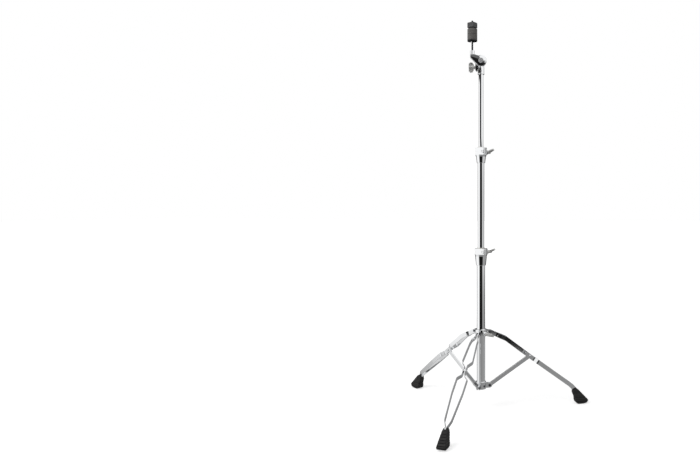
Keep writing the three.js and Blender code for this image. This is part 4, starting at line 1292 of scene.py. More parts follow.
@dataclass(frozen=True)
class CymbalSeat:
    """The seat on the threaded rod, measured from the tilter's pivot: cup, felts and nut."""

    place: Matrix
    rod_bottom: float = 21.8
    rod_top: float = 135.2
    thread_depth: float = 0.6
    pitch: float = 1
    cup_bottom: float = 65.9
    cup_height: float = 3.5
    cup_radius: float = 16.8
    pocket_depth: float = 2
    notch_turn_deg: float = 102
    felt_bore: float = 5.4
    felt_radius: float = 17
    felt_height: float = 19
    sleeve_wall: float = 1.8
    nut_bottom: float = 108.3
    nut_width: float = 25.6
    nut_neck: float = 3
    neck_radius: float = 8.5
    insert_radius: float = 5.3
    grip_height: float = 17
    nut_turn_deg: float = 54

    @property
    def rod_hole(self) -> float:
        """Radius of a hole round the rod."""
        return SCREW_RADIUS + CLEARANCE

    @property
    def felt_bottom(self) -> float:
        """Height of the lower felt, just over the cup."""
        return self.cup_bottom + self.cup_height + CLEARANCE

    def rod(self) -> Blank:
        """Winds the rod's thread as one helix and cuts its ends square.

        Returns:
            The rod, in the seat's frame.
        """
        root, low = SCREW_RADIUS - self.thread_depth, self.rod_bottom - self.pitch
        turns = math.ceil((self.rod_top - low) / self.pitch) + 1
        tooth = [
            (root, 0, low), (SCREW_RADIUS, 0, low + self.pitch * 0.42),
            (SCREW_RADIUS, 0, low + self.pitch * 0.58), (root, 0, low + self.pitch)
        ]
        activate()
        bpy.ops.mesh.primitive_grid_add(x_subdivisions=len(tooth) - 1, y_subdivisions=1)
        blank = Blank("cymbal_rod_thread")
        with blank.editing():
            bpy.ops.mesh.delete(type="ONLY_FACE")
        for vertex in blank.body.data.vertices:
            vertex.co = tooth[vertex.index % len(tooth)]
            vertex.select = vertex.index >= len(tooth)
        with blank.editing(whole=False):
            bpy.ops.mesh.select_mode(type="VERT")
            bpy.ops.mesh.delete(type="VERT")
        blank.modified(
            "SCREW", angle=math.tau, screw_offset=self.pitch, iterations=turns, steps=20,
            render_steps=20, use_merge_vertices=False
        )
        with blank.editing():
            bpy.ops.mesh.remove_doubles(threshold=WELD)
            for height, downward in ((self.rod_bottom, True), (self.rod_top, False)):
                bpy.ops.mesh.select_all(action="SELECT")
                bpy.ops.mesh.bisect(
                    plane_co=(0, 0, height), plane_no=(0, 0, 1), use_fill=True,
                    clear_inner=downward, clear_outer=not downward
                )
        return blank.outward()

    def cup(self) -> Blank:
        """Makes the cup washer: a rim round pockets and ribs below, and a notch in its edge.

        Returns:
            The cup washer, in the seat's frame.
        """
        low, high, radius = self.cup_bottom, self.cup_bottom + self.cup_height, self.cup_radius
        profile = washer(self.rod_hole, radius, low, high, 0.3, 0.7, 0.5, 0.2)
        cup = Blank.turned("seat_cup_washer", profile)
        near, far, half_turn = 6.2, radius - 2, math.radians(25)
        side = [
            (reach * math.cos(half_turn), -reach * math.sin(half_turn), ease)
            for reach, ease in ((near, 0.8), (far, 1.2))
        ]
        sector = [*side, (far, 0, 6), *((x, -y, ease) for x, y, ease in reversed(side))]
        bottom = low - OVERRUN
        pocket = Blank.plate("pocket", sector, bottom, low + self.pocket_depth, Lay.FLAT)
        edge = [(radius - 7, -2.65, 2), (radius + 2, -2.65)]
        notch = Blank.plate("notch", mirrored(edge, y=-1), bottom, high + OVERRUN, Lay.FLAT)
        return cup.cut(pocket.ringed(6), notch.moved(turned_by(self.notch_turn_deg)))

    def felt(self, name: str, low_ease: float, high_ease: float) -> Blank:
        """Makes one felt: a thick washer with soft shoulders and a matted, slightly uneven skin.

        Args:
            name: the felt's name.
            low_ease: size of its lower shoulder.
            high_ease: size of its upper shoulder.

        Returns:
            The felt, standing on its lower face.
        """
        bore, radius, height = self.felt_bore, self.felt_radius, self.felt_height
        rows, columns, straight = 18, 8, height - low_ease - high_ease
        side = [(radius, low_ease + straight * row / rows) for row in range(rows + 1)]
        span = radius - high_ease - 0.9 - bore
        reaches = [bore + 0.6 + span * row / columns for row in range(columns + 1)]
        bulge = 1 - math.sqrt(0.5)
        low_bulge, high_bulge = low_ease * bulge, high_ease * bulge
        inside = [(bore, height * (columns - row) / columns) for row in range(columns)]
        profile = [
            (bore, 0), *((reach, 0) for reach in reaches), (radius - low_ease, 0),
            (radius - low_bulge, low_bulge), *side, (radius - high_bulge, height - high_bulge),
            *((reach, height) for reach in reversed(reaches)), *inside
        ]
        felt = Blank.turned(name, profile, steps=FELT_STEPS)
        for size in (6, 1.1):
            clouds = bpy.data.textures.new(name + "_matting", "CLOUDS")
            clouds.noise_scale = size
            clouds.noise_depth = 2
            felt.modified(
                "DISPLACE", texture=clouds, strength=0.25, mid_level=1, texture_coords="LOCAL"
            )
        return felt

    def sleeve(self) -> Blank:
        """Makes the flexible sleeve round the rod.

        Returns:
            The sleeve, in the seat's frame.
        """
        inner, low, high = self.rod_hole, self.felt_bottom, self.nut_bottom - CLEARANCE
        profile = washer(inner, inner + self.sleeve_wall, low, high, 0.2, 0.3, 0.3, 0.2)
        return Blank.turned("cymbal_rod_sleeve", profile, steps=FINE_STEPS)

    def nut(self) -> Blank:
        """Makes the wing nut: a square grip with rounded corners and a crowned top, on a neck.

        Returns:
            The nut, standing on its neck.
        """
        half, low, radius = self.nut_width / 2, self.nut_neck, self.neck_radius
        high = low + self.grip_height
        corners = [(x, y, 3) for x, y in oblong(-half, -half, half, half)]
        grip = Blank.plate("cymbal_square_nut", corners, low, high, Lay.FLAT)
        under, outside = low - OVERRUN, half + 7.2
        crown = [
            (0, under), (outside, under), (outside, high - 1, 1), (half, high - 0.3, 4),
            (radius, high, 3), (0, high)
        ]
        grip.common(Blank.turned("crown", crown)).rounded(0.7, 3, 35)
        neck = Blank.turned("neck", solid(radius, 0, low + 2, 0.5, 0))
        grip.joined(neck).cut(Blank.bore(self.insert_radius, 0, high))
        return grip.moved(turned_by(self.nut_turn_deg))

    def insert(self) -> Blank:
        """Makes the nut's brass insert."""
        high = self.nut_neck + self.grip_height - 0.5
        profile = washer(self.rod_hole, self.insert_radius, 0.5, high, 0.3, 0.3, 0.3, 0.5)
        return Blank.turned("nut_brass_insert", profile, steps=FINE_STEPS)

    def build(self) -> None:
        """Makes the seat's pieces and fits them."""
        self.rod().fitted(self.place, BLACK_STEEL, "threaded_rod")
        self.cup().fitted(self.place, BLACK_NYLON, "seat_cup")
        self.sleeve().fitted(self.place, SOFT_SLEEVE, "cymbal_sleeve")
        lower = self.felt("lower_wool_felt", 0.9, 0.9)
        upper = self.felt("upper_wool_felt", 0.9, 2.4)
        lower_place = self.place @ shifted(0, 0, self.felt_bottom)
        lower_piece = lower.fitted(lower_place, FELT, "lower_felt")
        upper_place = lower_place @ shifted(0, 0, self.felt_height + CLEARANCE)
        upper_piece = upper.fitted(upper_place, FELT, "upper_felt")
        nut_place = self.place @ shifted(0, 0, self.nut_bottom)
        self.nut().fitted(nut_place, BLACK_ABS, "cymbal_nut")
        self.insert().fitted(nut_place, BRASS, "nut_insert")


def lug_corners(root: float, reach: float, height: float) -> list[Corner]:
    """Gives a lug's outline, from its root to a round end about its pivot.

    Args:
        root: where the outline starts.
        reach: how far away its pivot is.
        height: of the lug.

    Returns:
        The corners.
    """
    half = height / 2
    bend = [(reach + x, y) for x, y in arc(half, -math.pi / 2, math.pi)]
    return [(root, -half), *bend, (root, half)]


def domed_head(shank: float, seat: float, radius: float = 4.75) -> list[Corner]:
    """Gives the section of a pin's domed head, from the shank at its seat to its middle.

    Args:
        shank: radius of the shank.
        seat: where the head starts, along the pin.
        radius: of the head.

    Returns:
        The corners.
    """
    edge, top = seat + 0.7, seat + 1.8
    return [
        (shank, seat), (radius, seat, 0.1), (radius, edge, 0.5), (radius * 0.7, top, 1.2), (0, top)
    ]


def headed_pin(half_grip: float) -> Blank:
    """Turns a pin along Y, with a domed head at each end of its grip."""
    section = mirrored(domed_head(SCREW_RADIUS, half_grip), y=-1)
    return Blank.turned("pin", section, Along.Y, FINE_STEPS)


@dataclass(frozen=True)
class TubeFittings:
    """What sits on the base tube between the legs: the sliding hub and the lower collar."""

    hub_low: float = -13.5
    hub_high: float = 9.5
    hub_radius: float = 20
    lug_height: float = 16
    lug_half: float = 2.5
    boss_turn_deg: float = -30
    boss_drop: float = 5
    boss_end: float = 25
    boss_radius: float = 7
    collar_low: float = -11
    collar_high: float = 14
    collar_floor: float = 2
    collar_radius: float = 17.2
    drain_radius: float = 10
    ear_height: float = 17
    ear_near: float = 2.8
    ear_far: float = 5.2
    rivet_radius: float = 2.5
    rivet_head: float = 4

    @property
    def bore(self) -> float:
        """Bore round the base tube."""
        return BASE_RADIUS + CLEARANCE

    def pin_holes(self, half_length: float) -> Blank:
        """Makes the tool that drills the three pivots, to each side of each leg's plane."""
        hole = Blank.rod(SCREW_RADIUS + CLEARANCE, -half_length, half_length, Along.Y)
        return hole.moved(turned_by(-90) @ shifted(PIVOT_REACH, 0, 0)).ringed(3)

    def hub(self) -> Blank:
        """Makes the leg hub: a ring with three lugs and the boss of its bolt.

        Returns:
            The hub, in its own frame.
        """
        low, high, half = self.hub_low, self.hub_high, self.lug_half
        ring = Blank.turned("leg_hub_casting", solid(self.hub_radius, low, high, 1.4, 1.4))
        boss_profile = solid(self.boss_radius, 0, self.boss_end, 0, 1)
        boss_place = shifted(0, 0, -self.boss_drop) @ turned_by(self.boss_turn_deg)
        boss = Blank.turned("boss", boss_profile, Along.X, FINE_STEPS).moved(boss_place)
        lug = Blank.plate("lug", lug_corners(self.bore, PIVOT_REACH, self.lug_height), -half, half)
        lugs = lug.rounded(0.6, 2, 50).moved(turned_by(-90)).ringed(3)
        bolt_hole = Blank.rod(SCREW_RADIUS + CLEARANCE, 0, 40, Along.X).moved(boss_place)
        bore = Blank.bore(BASE_RADIUS, low, high, steps=TURN_STEPS)
        return ring.joined(boss, lugs).cut(bore, self.pin_holes(4), bolt_hole)

    def hub_bolt(self) -> Blank:
        """Makes the hub's wing bolt.

        Returns:
            The bolt, in the frame of the boss.
        """
        seat = self.boss_end + CLEARANCE
        wings = Wings(8).blank("hub_cast_wing_bolt")
        wings.moved(shifted(seat, 0, 0) @ turned_by(66, "X"))
        wings.joined(Blank.rod(SCREW_RADIUS, self.bore, seat + 4, Along.X))
        return wings.moved(turned_by(self.boss_turn_deg))

    def collar(self) -> Blank:
        """Makes the lower collar: a cup with a drain and three pairs of ears.

        Returns:
            The collar, in its own frame.
        """
        low, high, drain, radius = (
            self.collar_low, self.collar_high, self.drain_radius, self.collar_radius
        )
        floor = low + self.collar_floor
        profile = [
            (drain, low, 0.4), (radius, low, 2), (radius, high, 0.8), (self.bore, high, 0.4),
            (self.bore, floor, 0.8), (drain, floor, 0.3)
        ]
        outline = lug_corners(self.bore + 0.4, PIVOT_REACH, self.ear_height)
        near = Blank.plate("ear", outline, -self.ear_far, -self.ear_near)
        far = Blank.plate("ear", outline, self.ear_near, self.ear_far)
        activate(near.body, far.body)
        bpy.ops.object.join()
        ears = near.rounded(0.5, 2, 50).moved(turned_by(-90)).ringed(3)
        rivet_hole = Blank.rod(self.rivet_radius + CLEARANCE, self.bore - OVERRUN, 30, Along.X)
        bore = Blank.rod(self.bore, floor, high + OVERRUN, steps=TURN_STEPS)
        cup = Blank.turned("lower_collar_cup", profile).joined(ears)
        return cup.cut(bore, self.pin_holes(7), rivet_hole.moved(turned_by(self.boss_turn_deg)))

    def rivet(self) -> Blank:
        """Makes the rivet that holds the collar on the tube.

        Returns:
            The rivet, in the collar's frame.
        """
        seat, shank, head = self.collar_radius + CLEARANCE, self.rivet_radius, self.rivet_head
        profile = [
            (0, self.bore), (shank, self.bore), (shank, seat), (head, seat, 0.2),
            (head, seat + 0.7, 0.5), (head * 0.65, seat + 1.8, 1), (0, seat + 1.8)
        ]
        rivet = Blank.turned("collar_dome_rivet", profile, Along.X, FINE_STEPS)
        return rivet.moved(turned_by(self.boss_turn_deg))

    def build(self) -> None:
        """Makes the fittings and fits them."""
        hub_place = COLUMN @ shifted(0, 0, HUB_HEIGHT)
        bolt_place = hub_place @ shifted(0, 0, -self.boss_drop)
        collar_place = COLUMN @ shifted(0, 0, COLLAR_HEIGHT)
        self.hub().fitted(hub_place, CAST_CHROME, "leg_hub")
        self.hub_bolt().fitted(bolt_place, CAST_ZINC, "hub_wing_bolt")
        self.collar().fitted(collar_place, CAST_CHROME, "lower_collar")
        self.rivet().fitted(collar_place, PIN_STEEL, "collar_rivet")


class Side(Enum):
    """The two strips of a leg, by the side of the leg's plane that each is on."""

    RIGHT = 1
    LEFT = -1


@dataclass(frozen=True)
class LegLine:
    """The line that a leg's strips follow, from the hub pivot to their end in the foot."""

    pivot: Point = (PIVOT_REACH, HUB_HEIGHT)
    joint: Point = (171, 174.5)
    mouth: Point = (335.635, 50.22)
    shoulder_run: float = 62
    shoulder_deg: float = 24.5
    ankle_run: float = 22.6
    ankle_deg: float = 45
    grip_run: float = 24
    grip_deg: float = 50

    def corners(self) -> list[Point]:
        """Gives the line's corners as reach and height.

        Returns:
            The corners, from the hub outwards.
        """

        def step(start: Point, run: float, slope: float) -> Point:
            """Goes on from a point, down a slope."""
            turn = math.radians(slope)
            return (start[0] + run * math.cos(turn), start[1] - run * math.sin(turn))

        return [
            self.pivot, step(self.pivot, self.shoulder_run, self.shoulder_deg), self.joint,
            step(self.mouth, -self.ankle_run, self.ankle_deg), self.mouth,
            step(self.mouth, self.grip_run, self.grip_deg)
        ]

    def distances(self) -> list[float]:
        """Gives how far along the line each corner is.

        Returns:
            A distance for each corner.
        """
        corners = self.corners()
        runs = [0.0]
        for before, after in zip(corners, corners[1:]):
            runs.append(runs[-1] + math.dist(before, after))
        return runs

    def gaps(self) -> list[Point]:
        """Gives the bows: distance along the line, and half the gap between the strips.

        Returns:
            The rows, from the hub outwards.
        """
        _, _, joint, ankle, mouth, end = self.distances()
        return [
            (0, 3.8), (27, 3.8), (40, 10.5), (joint - 33, 17), (joint - 18, 4), (joint + 19, 4),
            (joint + 31, 17), (joint + 87, 17), (ankle, 10.7), (mouth, 1.15), (end, 1.15)
        ]

    def at(self, distance: float, side: int) -> Vector:
        """Gives a strip's centre at a distance along the line.

        Args:
            distance: below 0, it is before the line's start.
            side: 1 for the right strip, -1 for the left one, 0 for between them.

        Returns:
            The place, in the leg's frame.
        """
        rows = list(zip(self.distances(), self.corners()))
        reach = between([(run, corner[0]) for run, corner in rows], distance)
        height = between([(run, corner[1]) for run, corner in rows], distance)
        return Vector((reach, side * between(self.gaps(), max(distance, 0)), height))


def between(table: Sequence[Point], distance: float) -> float:
    """Reads a table of distance and value, straight between its rows and past its ends.

    Args:
        table: the rows, in rising order.
        distance: where to read it.

    Returns:
        The value there.
    """
    row = 0
    while row < len(table) - 2 and distance > table[row + 1][0]:
        row += 1
    (start, low), (end, high) = table[row], table[row + 1]
    return low + (high - low) * (distance - start) / (end - start)


@dataclass(frozen=True)
class LegParts:
    """The pieces of one leg, in its own plane: x is the reach, y is across, z is the height."""

    line: LegLine = LegLine()
    strip_width: float = 14.5
    strip_thickness: float = 2
    bend: float = 3.5
    heel: float = 327
    foot_length: float = 55
    foot_height: float = 54
    foot_width: float = 26.4
    grooves: tuple[float, ...] = (9, 15.5, 22, 28.5, 35, 41.5)
    half_groove: float = 1.1
    groove_depth: float = 1.5
    throat_half: float = 13
    collar_pivot: Point = (PIVOT_REACH, COLLAR_HEIGHT)
    brace_half_width: float = 6.5
    brace_half_thickness: float = 2.5
    tip_radius: float = 2
    tip_half: float = 2.15

    def strip_path(self, side: int) -> list[Vector]:
        """Gives the strip's centre line with its bends rounded.

        Args:
            side: 1 for the right strip, -1 for the left one.

        Returns:
            The path, from hub to foot.
        """
        marks = {round(run, 3) for run in self.line.distances()}
        marks |= {round(run, 3) for run, _ in self.line.gaps()}
        corners = [self.line.at(mark, side) for mark in sorted(marks)]
        path = [corners[0]]
        for before, here, after in zip(corners, corners[1:], corners[2:]):
            into, out = before - here, after - here
            run = min(self.bend, into.length * 0.45, out.length * 0.45)
            start, end = here + into.normalized() * run, here + out.normalized() * run
            for step in range(5):
                share = step / 4
                path.append(start.lerp(here, share).lerp(here.lerp(end, share), share))
        return [*path, corners[-1]]

    def strip(self, side: Side) -> Blank:
        """Bends a flat bar on edge along the leg, gives it its thickness and drills it.

        Args:
            side: the side that it is on.

        Returns:
            The strip, in the leg's frame.
        """
        half = self.strip_width / 2
        path = self.strip_path(side.value)
        start = (path[1] - path[0]).normalized()
        shares = (-1.0, -0.96, -0.86, -0.7, -0.5, -0.26)
        rounding = [(path[0] + start * half * share, math.sqrt(1 - share**2)) for share in shares]
        rows = rounding + [(point, 1.0) for point in path]
        rows[0] = (rows[0][0], 0.08)
        activate()
        bpy.ops.mesh.primitive_grid_add(x_subdivisions=len(rows) - 1, y_subdivisions=1)
        strip = Blank("strip")
        for vertex in strip.body.data.vertices:
            row, edge = vertex.index % len(rows), vertex.index // len(rows)
            centre, share = rows[row]
            along = rows[min(row + 1, len(rows) - 1)][0] - rows[max(row - 1, 0)][0]
            wide = Vector((-along.z, 0, along.x)).normalized()
            vertex.co = centre + wide * half * share * (1 if edge else -1)
        strip.modified("SOLIDIFY", thickness=self.strip_thickness, offset=0, use_even_offset=True)
        strip.outward().rounded(0.4, 2, 50)
        holes = (
            (SCREW_RADIUS, self.line.pivot), (SCREW_RADIUS, self.line.joint),
            (self.tip_radius, self.tip_rivet_place())
        )
        return strip.cut(*(
            Blank.rod(radius + CLEARANCE, -20, 20, Along.Y).moved(upright(place))
            for radius, place in holes
        ))

    def tip_rivet_place(self) -> Point:
        """Gives where the rivet in the foot is."""
        centre = self.line.at(self.line.distances()[4] + self.line.grip_run / 2, 0)
        return (centre.x, centre.z)

    def brace(self) -> Blank:
        """Makes the brace: a flat bar with an eye at each end.

        Returns:
            The brace, in the leg's frame.
        """
        (near_x, near_z), (far_x, far_z) = self.collar_pivot, self.line.joint
        length, half = math.dist(self.collar_pivot, self.line.joint), self.brace_half_thickness
        near = arc(self.brace_half_width, math.pi / 2, math.pi)
        far = [(length - x, -z) for x, z in near]
        bar = Blank.plate("brace", [*near, *far], -half, half).rounded(0.8, 3, 50)
        near_hole, far_hole = (Blank.bore(SCREW_RADIUS, -3, 3, Along.Y) for _ in range(2))
        bar.cut(near_hole, far_hole.moved(shifted(length, 0, 0)))
        slope = math.degrees(math.atan2(far_z - near_z, far_x - near_x))
        return bar.moved(upright(self.collar_pivot) @ turned_by(-slope, "Y"))

    def foot_body(self) -> Blank:
        """Makes the foot's outside: the side outline crossed with the front one.

        Returns:
            The foot, before its grooves and pocket.
        """
        side_shares = [
            (0.02, 0.88, 4), (0.01, 0.73, 6), (0.15, 0.44, 14), (0.18, 0.18, 6), (0.24, 0.06, 3),
            (0.37, 0, 5), (0.68, 0, 8), (0.88, 0.07, 6), (1, 0.19, 2), (0.97, 0.28, 2),
            (0.38, 0.91, 6), (0.28, 0.98, 4), (0.16, 1, 3), (0.07, 0.96, 3)
        ]
        front_shares = [
            (0.42, 0, 2), (0.5, 0.1, 3), (0.49, 0.22, 6), (0.43, 0.45, 12), (0.35, 0.72, 12),
            (0.29, 0.89, 5), (0.2, 1, 1)
        ]
        length, height, width = self.foot_length, self.foot_height, self.foot_width
        side = [(self.heel + length * x, height * z, ease) for x, z, ease in side_shares]
        right = [(width * y, height * z, ease) for y, z, ease in front_shares]
        foot = Blank.plate("foot", side, -width, width)
        front = Blank.plate("front", mirrored(right, x=-1), -length, length)
        front.moved(shifted(self.heel + length / 2, 0, 0) @ turned_by(90))
        return foot.common(front).rounded(2.2, 3, 35)

    def in_groove(self, centre: Vector, normal: Vector) -> bool:
        """Tells whether a face is on the foot's side, within a groove."""
        near = any(abs(centre.z - height) < self.half_groove for height in self.grooves)
        return abs(normal.z) < 0.9 and near

    def foot(self) -> Blank:
        """Grooves the foot across and cuts the pocket for the strip ends.

        Returns:
            The foot, in the leg's frame.
        """
        foot = self.foot_body()
        with foot.editing():
            for height in self.grooves:
                for edge in (height - self.half_groove, height + self.half_groove):
                    bpy.ops.mesh.select_all(action="SELECT")
                    bpy.ops.mesh.bisect(plane_co=(0, 0, edge), plane_no=(0, 0, 1))
        foot.pick(self.in_groove)
        with foot.editing(whole=False):
            bpy.ops.mesh.inset(thickness=0.3, depth=-self.groove_depth)
        grip = self.strip_thickness + 0.15 + CLEARANCE
        half, end = self.strip_width / 2 + CLEARANCE, self.line.grip_run + CLEARANCE
        pocket = Blank.plate("pocket", oblong(-OVERRUN, -half, end, half), -grip, grip)
        at_mouth, run = upright(self.line.mouth), self.line.ankle_run
        edge = [(OVERRUN, grip), (0, grip), (-run, self.throat_half)]
        throat = Blank.plate("throat", mirrored(edge, y=-1), -half, half, Lay.FLAT)
        return foot.cut(
            pocket.moved(at_mouth @ turned_by(self.line.grip_deg, "Y")),
            throat.moved(at_mouth @ turned_by(self.line.ankle_deg, "Y"))
        )

    def joint_rivet(self) -> Blank:
        """Makes the right rivet at the brace joint.

        Returns:
            The rivet, along Y at the joint.
        """
        inside, seat = 3, 5 + CLEARANCE
        profile = [(0, inside), (SCREW_RADIUS, inside, 0.3), *domed_head(SCREW_RADIUS, seat)]
        return Blank.turned("joint_rivet", profile, Along.Y, FINE_STEPS)

    def tip_rivet(self) -> Blank:
        """Makes the rivet that holds the strip ends together in the foot."""
        profile = solid(self.tip_radius, -self.tip_half, self.tip_half, 0.4, 0.4)
        return Blank.turned("tip_rivet", profile, Along.Y, FINE_STEPS)


class Legs:
    """The three legs: each part is modelled once and copied."""

    LABELS = ("front", "right", "left")

    def __init__(self) -> None:
        """Models one of each part, in the first leg's plane."""
        parts = LegParts()
        joint, collar = upright(parts.line.joint), upright(parts.collar_pivot)
        rivet, tip = parts.joint_rivet(), parts.tip_rivet()
        other = rivet.copied("joint_rivet").moved(turned_by(180))
        self.parts: dict[str, tuple[Blank, Finish]] = {
            "leg_right_strip": (parts.strip(Side.RIGHT), STRIP_CHROME),
            "leg_left_strip": (parts.strip(Side.LEFT), STRIP_CHROME),
            "foot": (parts.foot(), RUBBER),
            "brace": (parts.brace(), STRIP_CHROME),
            "leg_joint_rivet_right": (rivet.moved(joint), BOLT_CHROME),
            "leg_joint_rivet_left": (other.moved(joint), BOLT_CHROME),
            "leg_tip_rivet": (tip.moved(upright(parts.tip_rivet_place())), ZINC_STEEL),
            "hub_pin": (headed_pin(5.1).moved(upright(parts.line.pivot)), PIN_STEEL),
            "collar_pin": (headed_pin(5.5).moved(collar), PIN_STEEL)
        }

    def build(self) -> None:
        """Copies the parts to each leg and fits them."""
        for index, label in enumerate(self.LABELS):
            place = COLUMN @ turned_by(-90 + 120 * index)
            for part, (model, finish) in self.parts.items():
                name = f"{label}_{part}"
                model.copied(name + "_finished").fitted(place, finish, name)
        for model, _ in self.parts.values():
            bpy.data.objects.remove(model.body)


@dataclass(frozen=True)
class Studio:
    """A pale studio: white sweep, dark card beside the camera, one soft lamp, and the camera.

    Each ring of tones gives what a mirror sees round the object: degrees from the camera, tone.
    """

    distance: float = 2.1
    camera_height: float = 0.683
    focal_length: float = 31.914
    sensor_width: float = 36
    shift_x: float = -0.18714
    shift_y: float = -0.0347
    fill_level: float = 0.44
    screen_level: float = 1.13
    lamp_watts: float = 36
    lamp_size: float = 1.6
    lamp_reach: Place = (1.5, -1.6, 2.2)
    lamp_target: float = 0.6
    floor_size: float = 60
    floor_drop: float = 0.0004
    floor_colour: str = "#E8E8E8"
    level_weight: float = 0.5
    right_weight: float = 0.46

    level_tones = (
        (-180, 0.04), (-132, 0.07), (-122, 0.95), (-46, 1), (-38, 0.03), (-12, 0.01), (28, 0.02),
        (36, 0.1), (44, 0.9), (112, 0.9), (124, 0.06), (180, 0.04),
    )
    upper_tones = (
        (-180, 0.04), (-132, 0.07), (-122, 0.95), (-62, 1), (-54, 0.02), (8, 0.01), (14, 0.7),
        (20, 0.9), (112, 0.95), (124, 0.06), (180, 0.04),
    )
    ferrule_tones = (
        (-180, 0.04), (-120, 0.03), (8, 0.012), (16, 0.95), (118, 0.95), (127, 0.06), (180, 0.04),
    )
    disc_tones = (
        (-180, 0.04), (-132, 0.07), (-122, 0.95), (-46, 1), (-38, 0.14), (0, 0.13), (0.4, 0.95),
        (118, 0.95), (127, 0.06), (180, 0.04),
    )
    near_tones = (
        (-180, 0.27), (-130, 0.4), (-100, 0.8), (-56, 0.8), (-44, 0.34), (-10, 0.22), (40, 0.27),
        (90, 0.3), (180, 0.27),
    )
    # Each of these maps the range of its first two values to that of the last two. Heights are
    # shares of a direction's length, and reaches are metres from the column.
    screen_fade_by_height = (0, 0.15, 0.4, 0.05)
    screen_fade_by_reach = (1.2, 6, 0.75, 0.4)
    ceiling_by_height = (0.45, 0.7, 0, 1)
    screens_by_reach = (1.2, 1.4, 0, 1)
    glow_by_reach = (0.8, 2.2, 0.56, 0.8)
    # Between each pair of heights the ring of tones changes.
    higher_rings = (
        (0.095, 0.115, upper_tones), (0.196, 0.208, ferrule_tones), (0.226, 0.229, disc_tones),
    )

    @property
    def towards(self) -> Vector:
        """Level direction from the column to the camera."""
        turn = math.radians(FACING_DEG)
        return Vector((math.sin(turn), -math.cos(turn), 0))

    @property
    def rightward(self) -> Vector:
        """Level direction to the camera's right."""
        turn = math.radians(FACING_DEG)
        return Vector((math.cos(turn), math.sin(turn), 0))

    def compass(self, tree: Tree, direction: Socket) -> tuple[Socket, Socket]:
        """Reads a direction from the object outwards.

        Args:
            tree: the world's or the floor's nodes.
            direction: of length 1.

        Returns:
            Its turn from the camera, with the camera at 0.5 and half a turn at 0 and 1, and how
            far it points to the right, from -1 to 1.
        """
        ahead, beside = (
            add_node(
                tree, "VectorMath", {"operation": "DOT_PRODUCT", 1: way}, {0: direction}
            ).outputs["Value"]
            for way in (self.towards, self.rightward)
        )
        turn = add_node(tree, "Math", {"operation": "ARCTAN2"}, {0: beside, 1: ahead}).outputs[0]
        settings = {"operation": "MULTIPLY_ADD", 1: 1 / math.tau, 2: 0.5}
        return add_node(tree, "Math", settings, {0: turn}).outputs[0], beside

    def ring(self, tree: Tree, share: Socket, tones: Sequence[Point]) -> Socket:
        """Adds a ring of tones round the object, by degrees from the camera.

        Args:
            tree: the node tree.
            share: of the turn, from 0 to 1.
            tones: degrees and tone of each stop, in rising order.

        Returns:
            The tone.
        """
        ramp = add_node(tree, "ValToRGB", {}, {0: share})
        stops = ramp.color_ramp.elements
        for index, (degrees, tone) in enumerate(tones):
            place = degrees / 360 + 0.5
            stop = stops[index] if index < 2 else stops.new(place)
            stop.position = place
            stop.color = (tone, tone, tone, 1)
        return ramp.outputs[0]

    def soft(self, tree: Tree, value: Socket, *limits: float) -> Socket:
        """Maps a value softly from the first two limits to the last two."""
        return ranged(tree, value, *limits, easing="SMOOTHSTEP")

    def faded(self, tree: Tree, tone: Socket, beside: Socket, drop: Socket) -> Socket:
        """Fades the screens towards the floor, the right one most.

        Args:
            tree: the world's or the floor's nodes.
            tone: of the surround.
            beside: how far the direction points to the right.
            drop: how far the right screen fades there, from 0 to 1.

        Returns:
            The faded tone.
        """
        settings = {"operation": "MULTIPLY_ADD", 1: self.right_weight, 2: self.level_weight}
        weight = add_node(tree, "Math", settings, {0: beside}).outputs[0]
        lost = add_node(tree, "Math", {"operation": "MULTIPLY"}, {0: weight, 1: drop}).outputs[0]
        kept = add_node(tree, "Math", {"operation": "SUBTRACT", 0: 1.0}, {1: lost}).outputs[0]
        links = {0: tone, "Scale": kept}
        return add_node(tree, "VectorMath", {"operation": "SCALE"}, links).outputs[0]

    def shared(self, tree: Tree, kind: str, tone: Socket, light: Socket, seen: Socket) -> Socket:
        """Shows one thing to the camera, another to reflections and a third to plain light.

        Args:
            tree: the world's or the floor's nodes.
            kind: the node that shines with the reflected tone.
            tone: what reflections see.
            light: the shader that lights the object.
            seen: the shader that the camera sees.

        Returns:
            The shader.
        """
        path = add_node(tree, "LightPath").outputs
        links = {0: path["Is Glossy Ray"], 1: path["Is Transmission Ray"]}
        shiny = add_node(tree, "Math", {"operation": "MAXIMUM"}, links).outputs[0]
        screen = add_node(tree, kind, {"Strength": self.screen_level}, {"Color": tone})
        lit = add_node(tree, "MixShader", {}, {0: shiny, 1: light, 2: screen.outputs[0]})
        links = {0: path["Is Camera Ray"], 1: lit.outputs[0], 2: seen}
        return add_node(tree, "MixShader", {}, links).outputs[0]

    def world(self) -> None:
        """Sets the world: plain fill light, white to the camera, the surround to reflections."""
        world = bpy.data.worlds.new("pale_studio")
        bpy.context.scene.world = world
        world.use_nodes = True
        tree = world.node_tree
        tree.nodes.clear()
        direction = add_node(tree, "TexCoord").outputs["Generated"]
        height = add_node(tree, "SeparateXYZ", {}, {0: direction}).outputs["Z"]
        share, beside = self.compass(tree, direction)
        rising = self.ring(tree, share, self.level_tones)
        for low, high, tones in self.higher_rings:
            level = self.soft(tree, height, low, high, 0, 1)
            rising = mixed(tree, level, rising, self.ring(tree, share, tones))
        drop = self.soft(tree, height, *self.screen_fade_by_height)
        screens = self.faded(tree, rising, beside, drop)
        ceiling = self.soft(tree, height, *self.ceiling_by_height)
        tone = mixed(tree, ceiling, screens, "#FFFFFF")
        level = self.fill_level
        fill = add_node(tree, "Background", {"Color": (level, level, level, 1)}).outputs[0]
        seen = add_node(tree, "Background", {"Color": (1, 1, 1, 1)}).outputs[0]
        shown = self.shared(tree, "Background", tone, fill, seen)
        add_node(tree, "OutputWorld", {}, {0: shown})

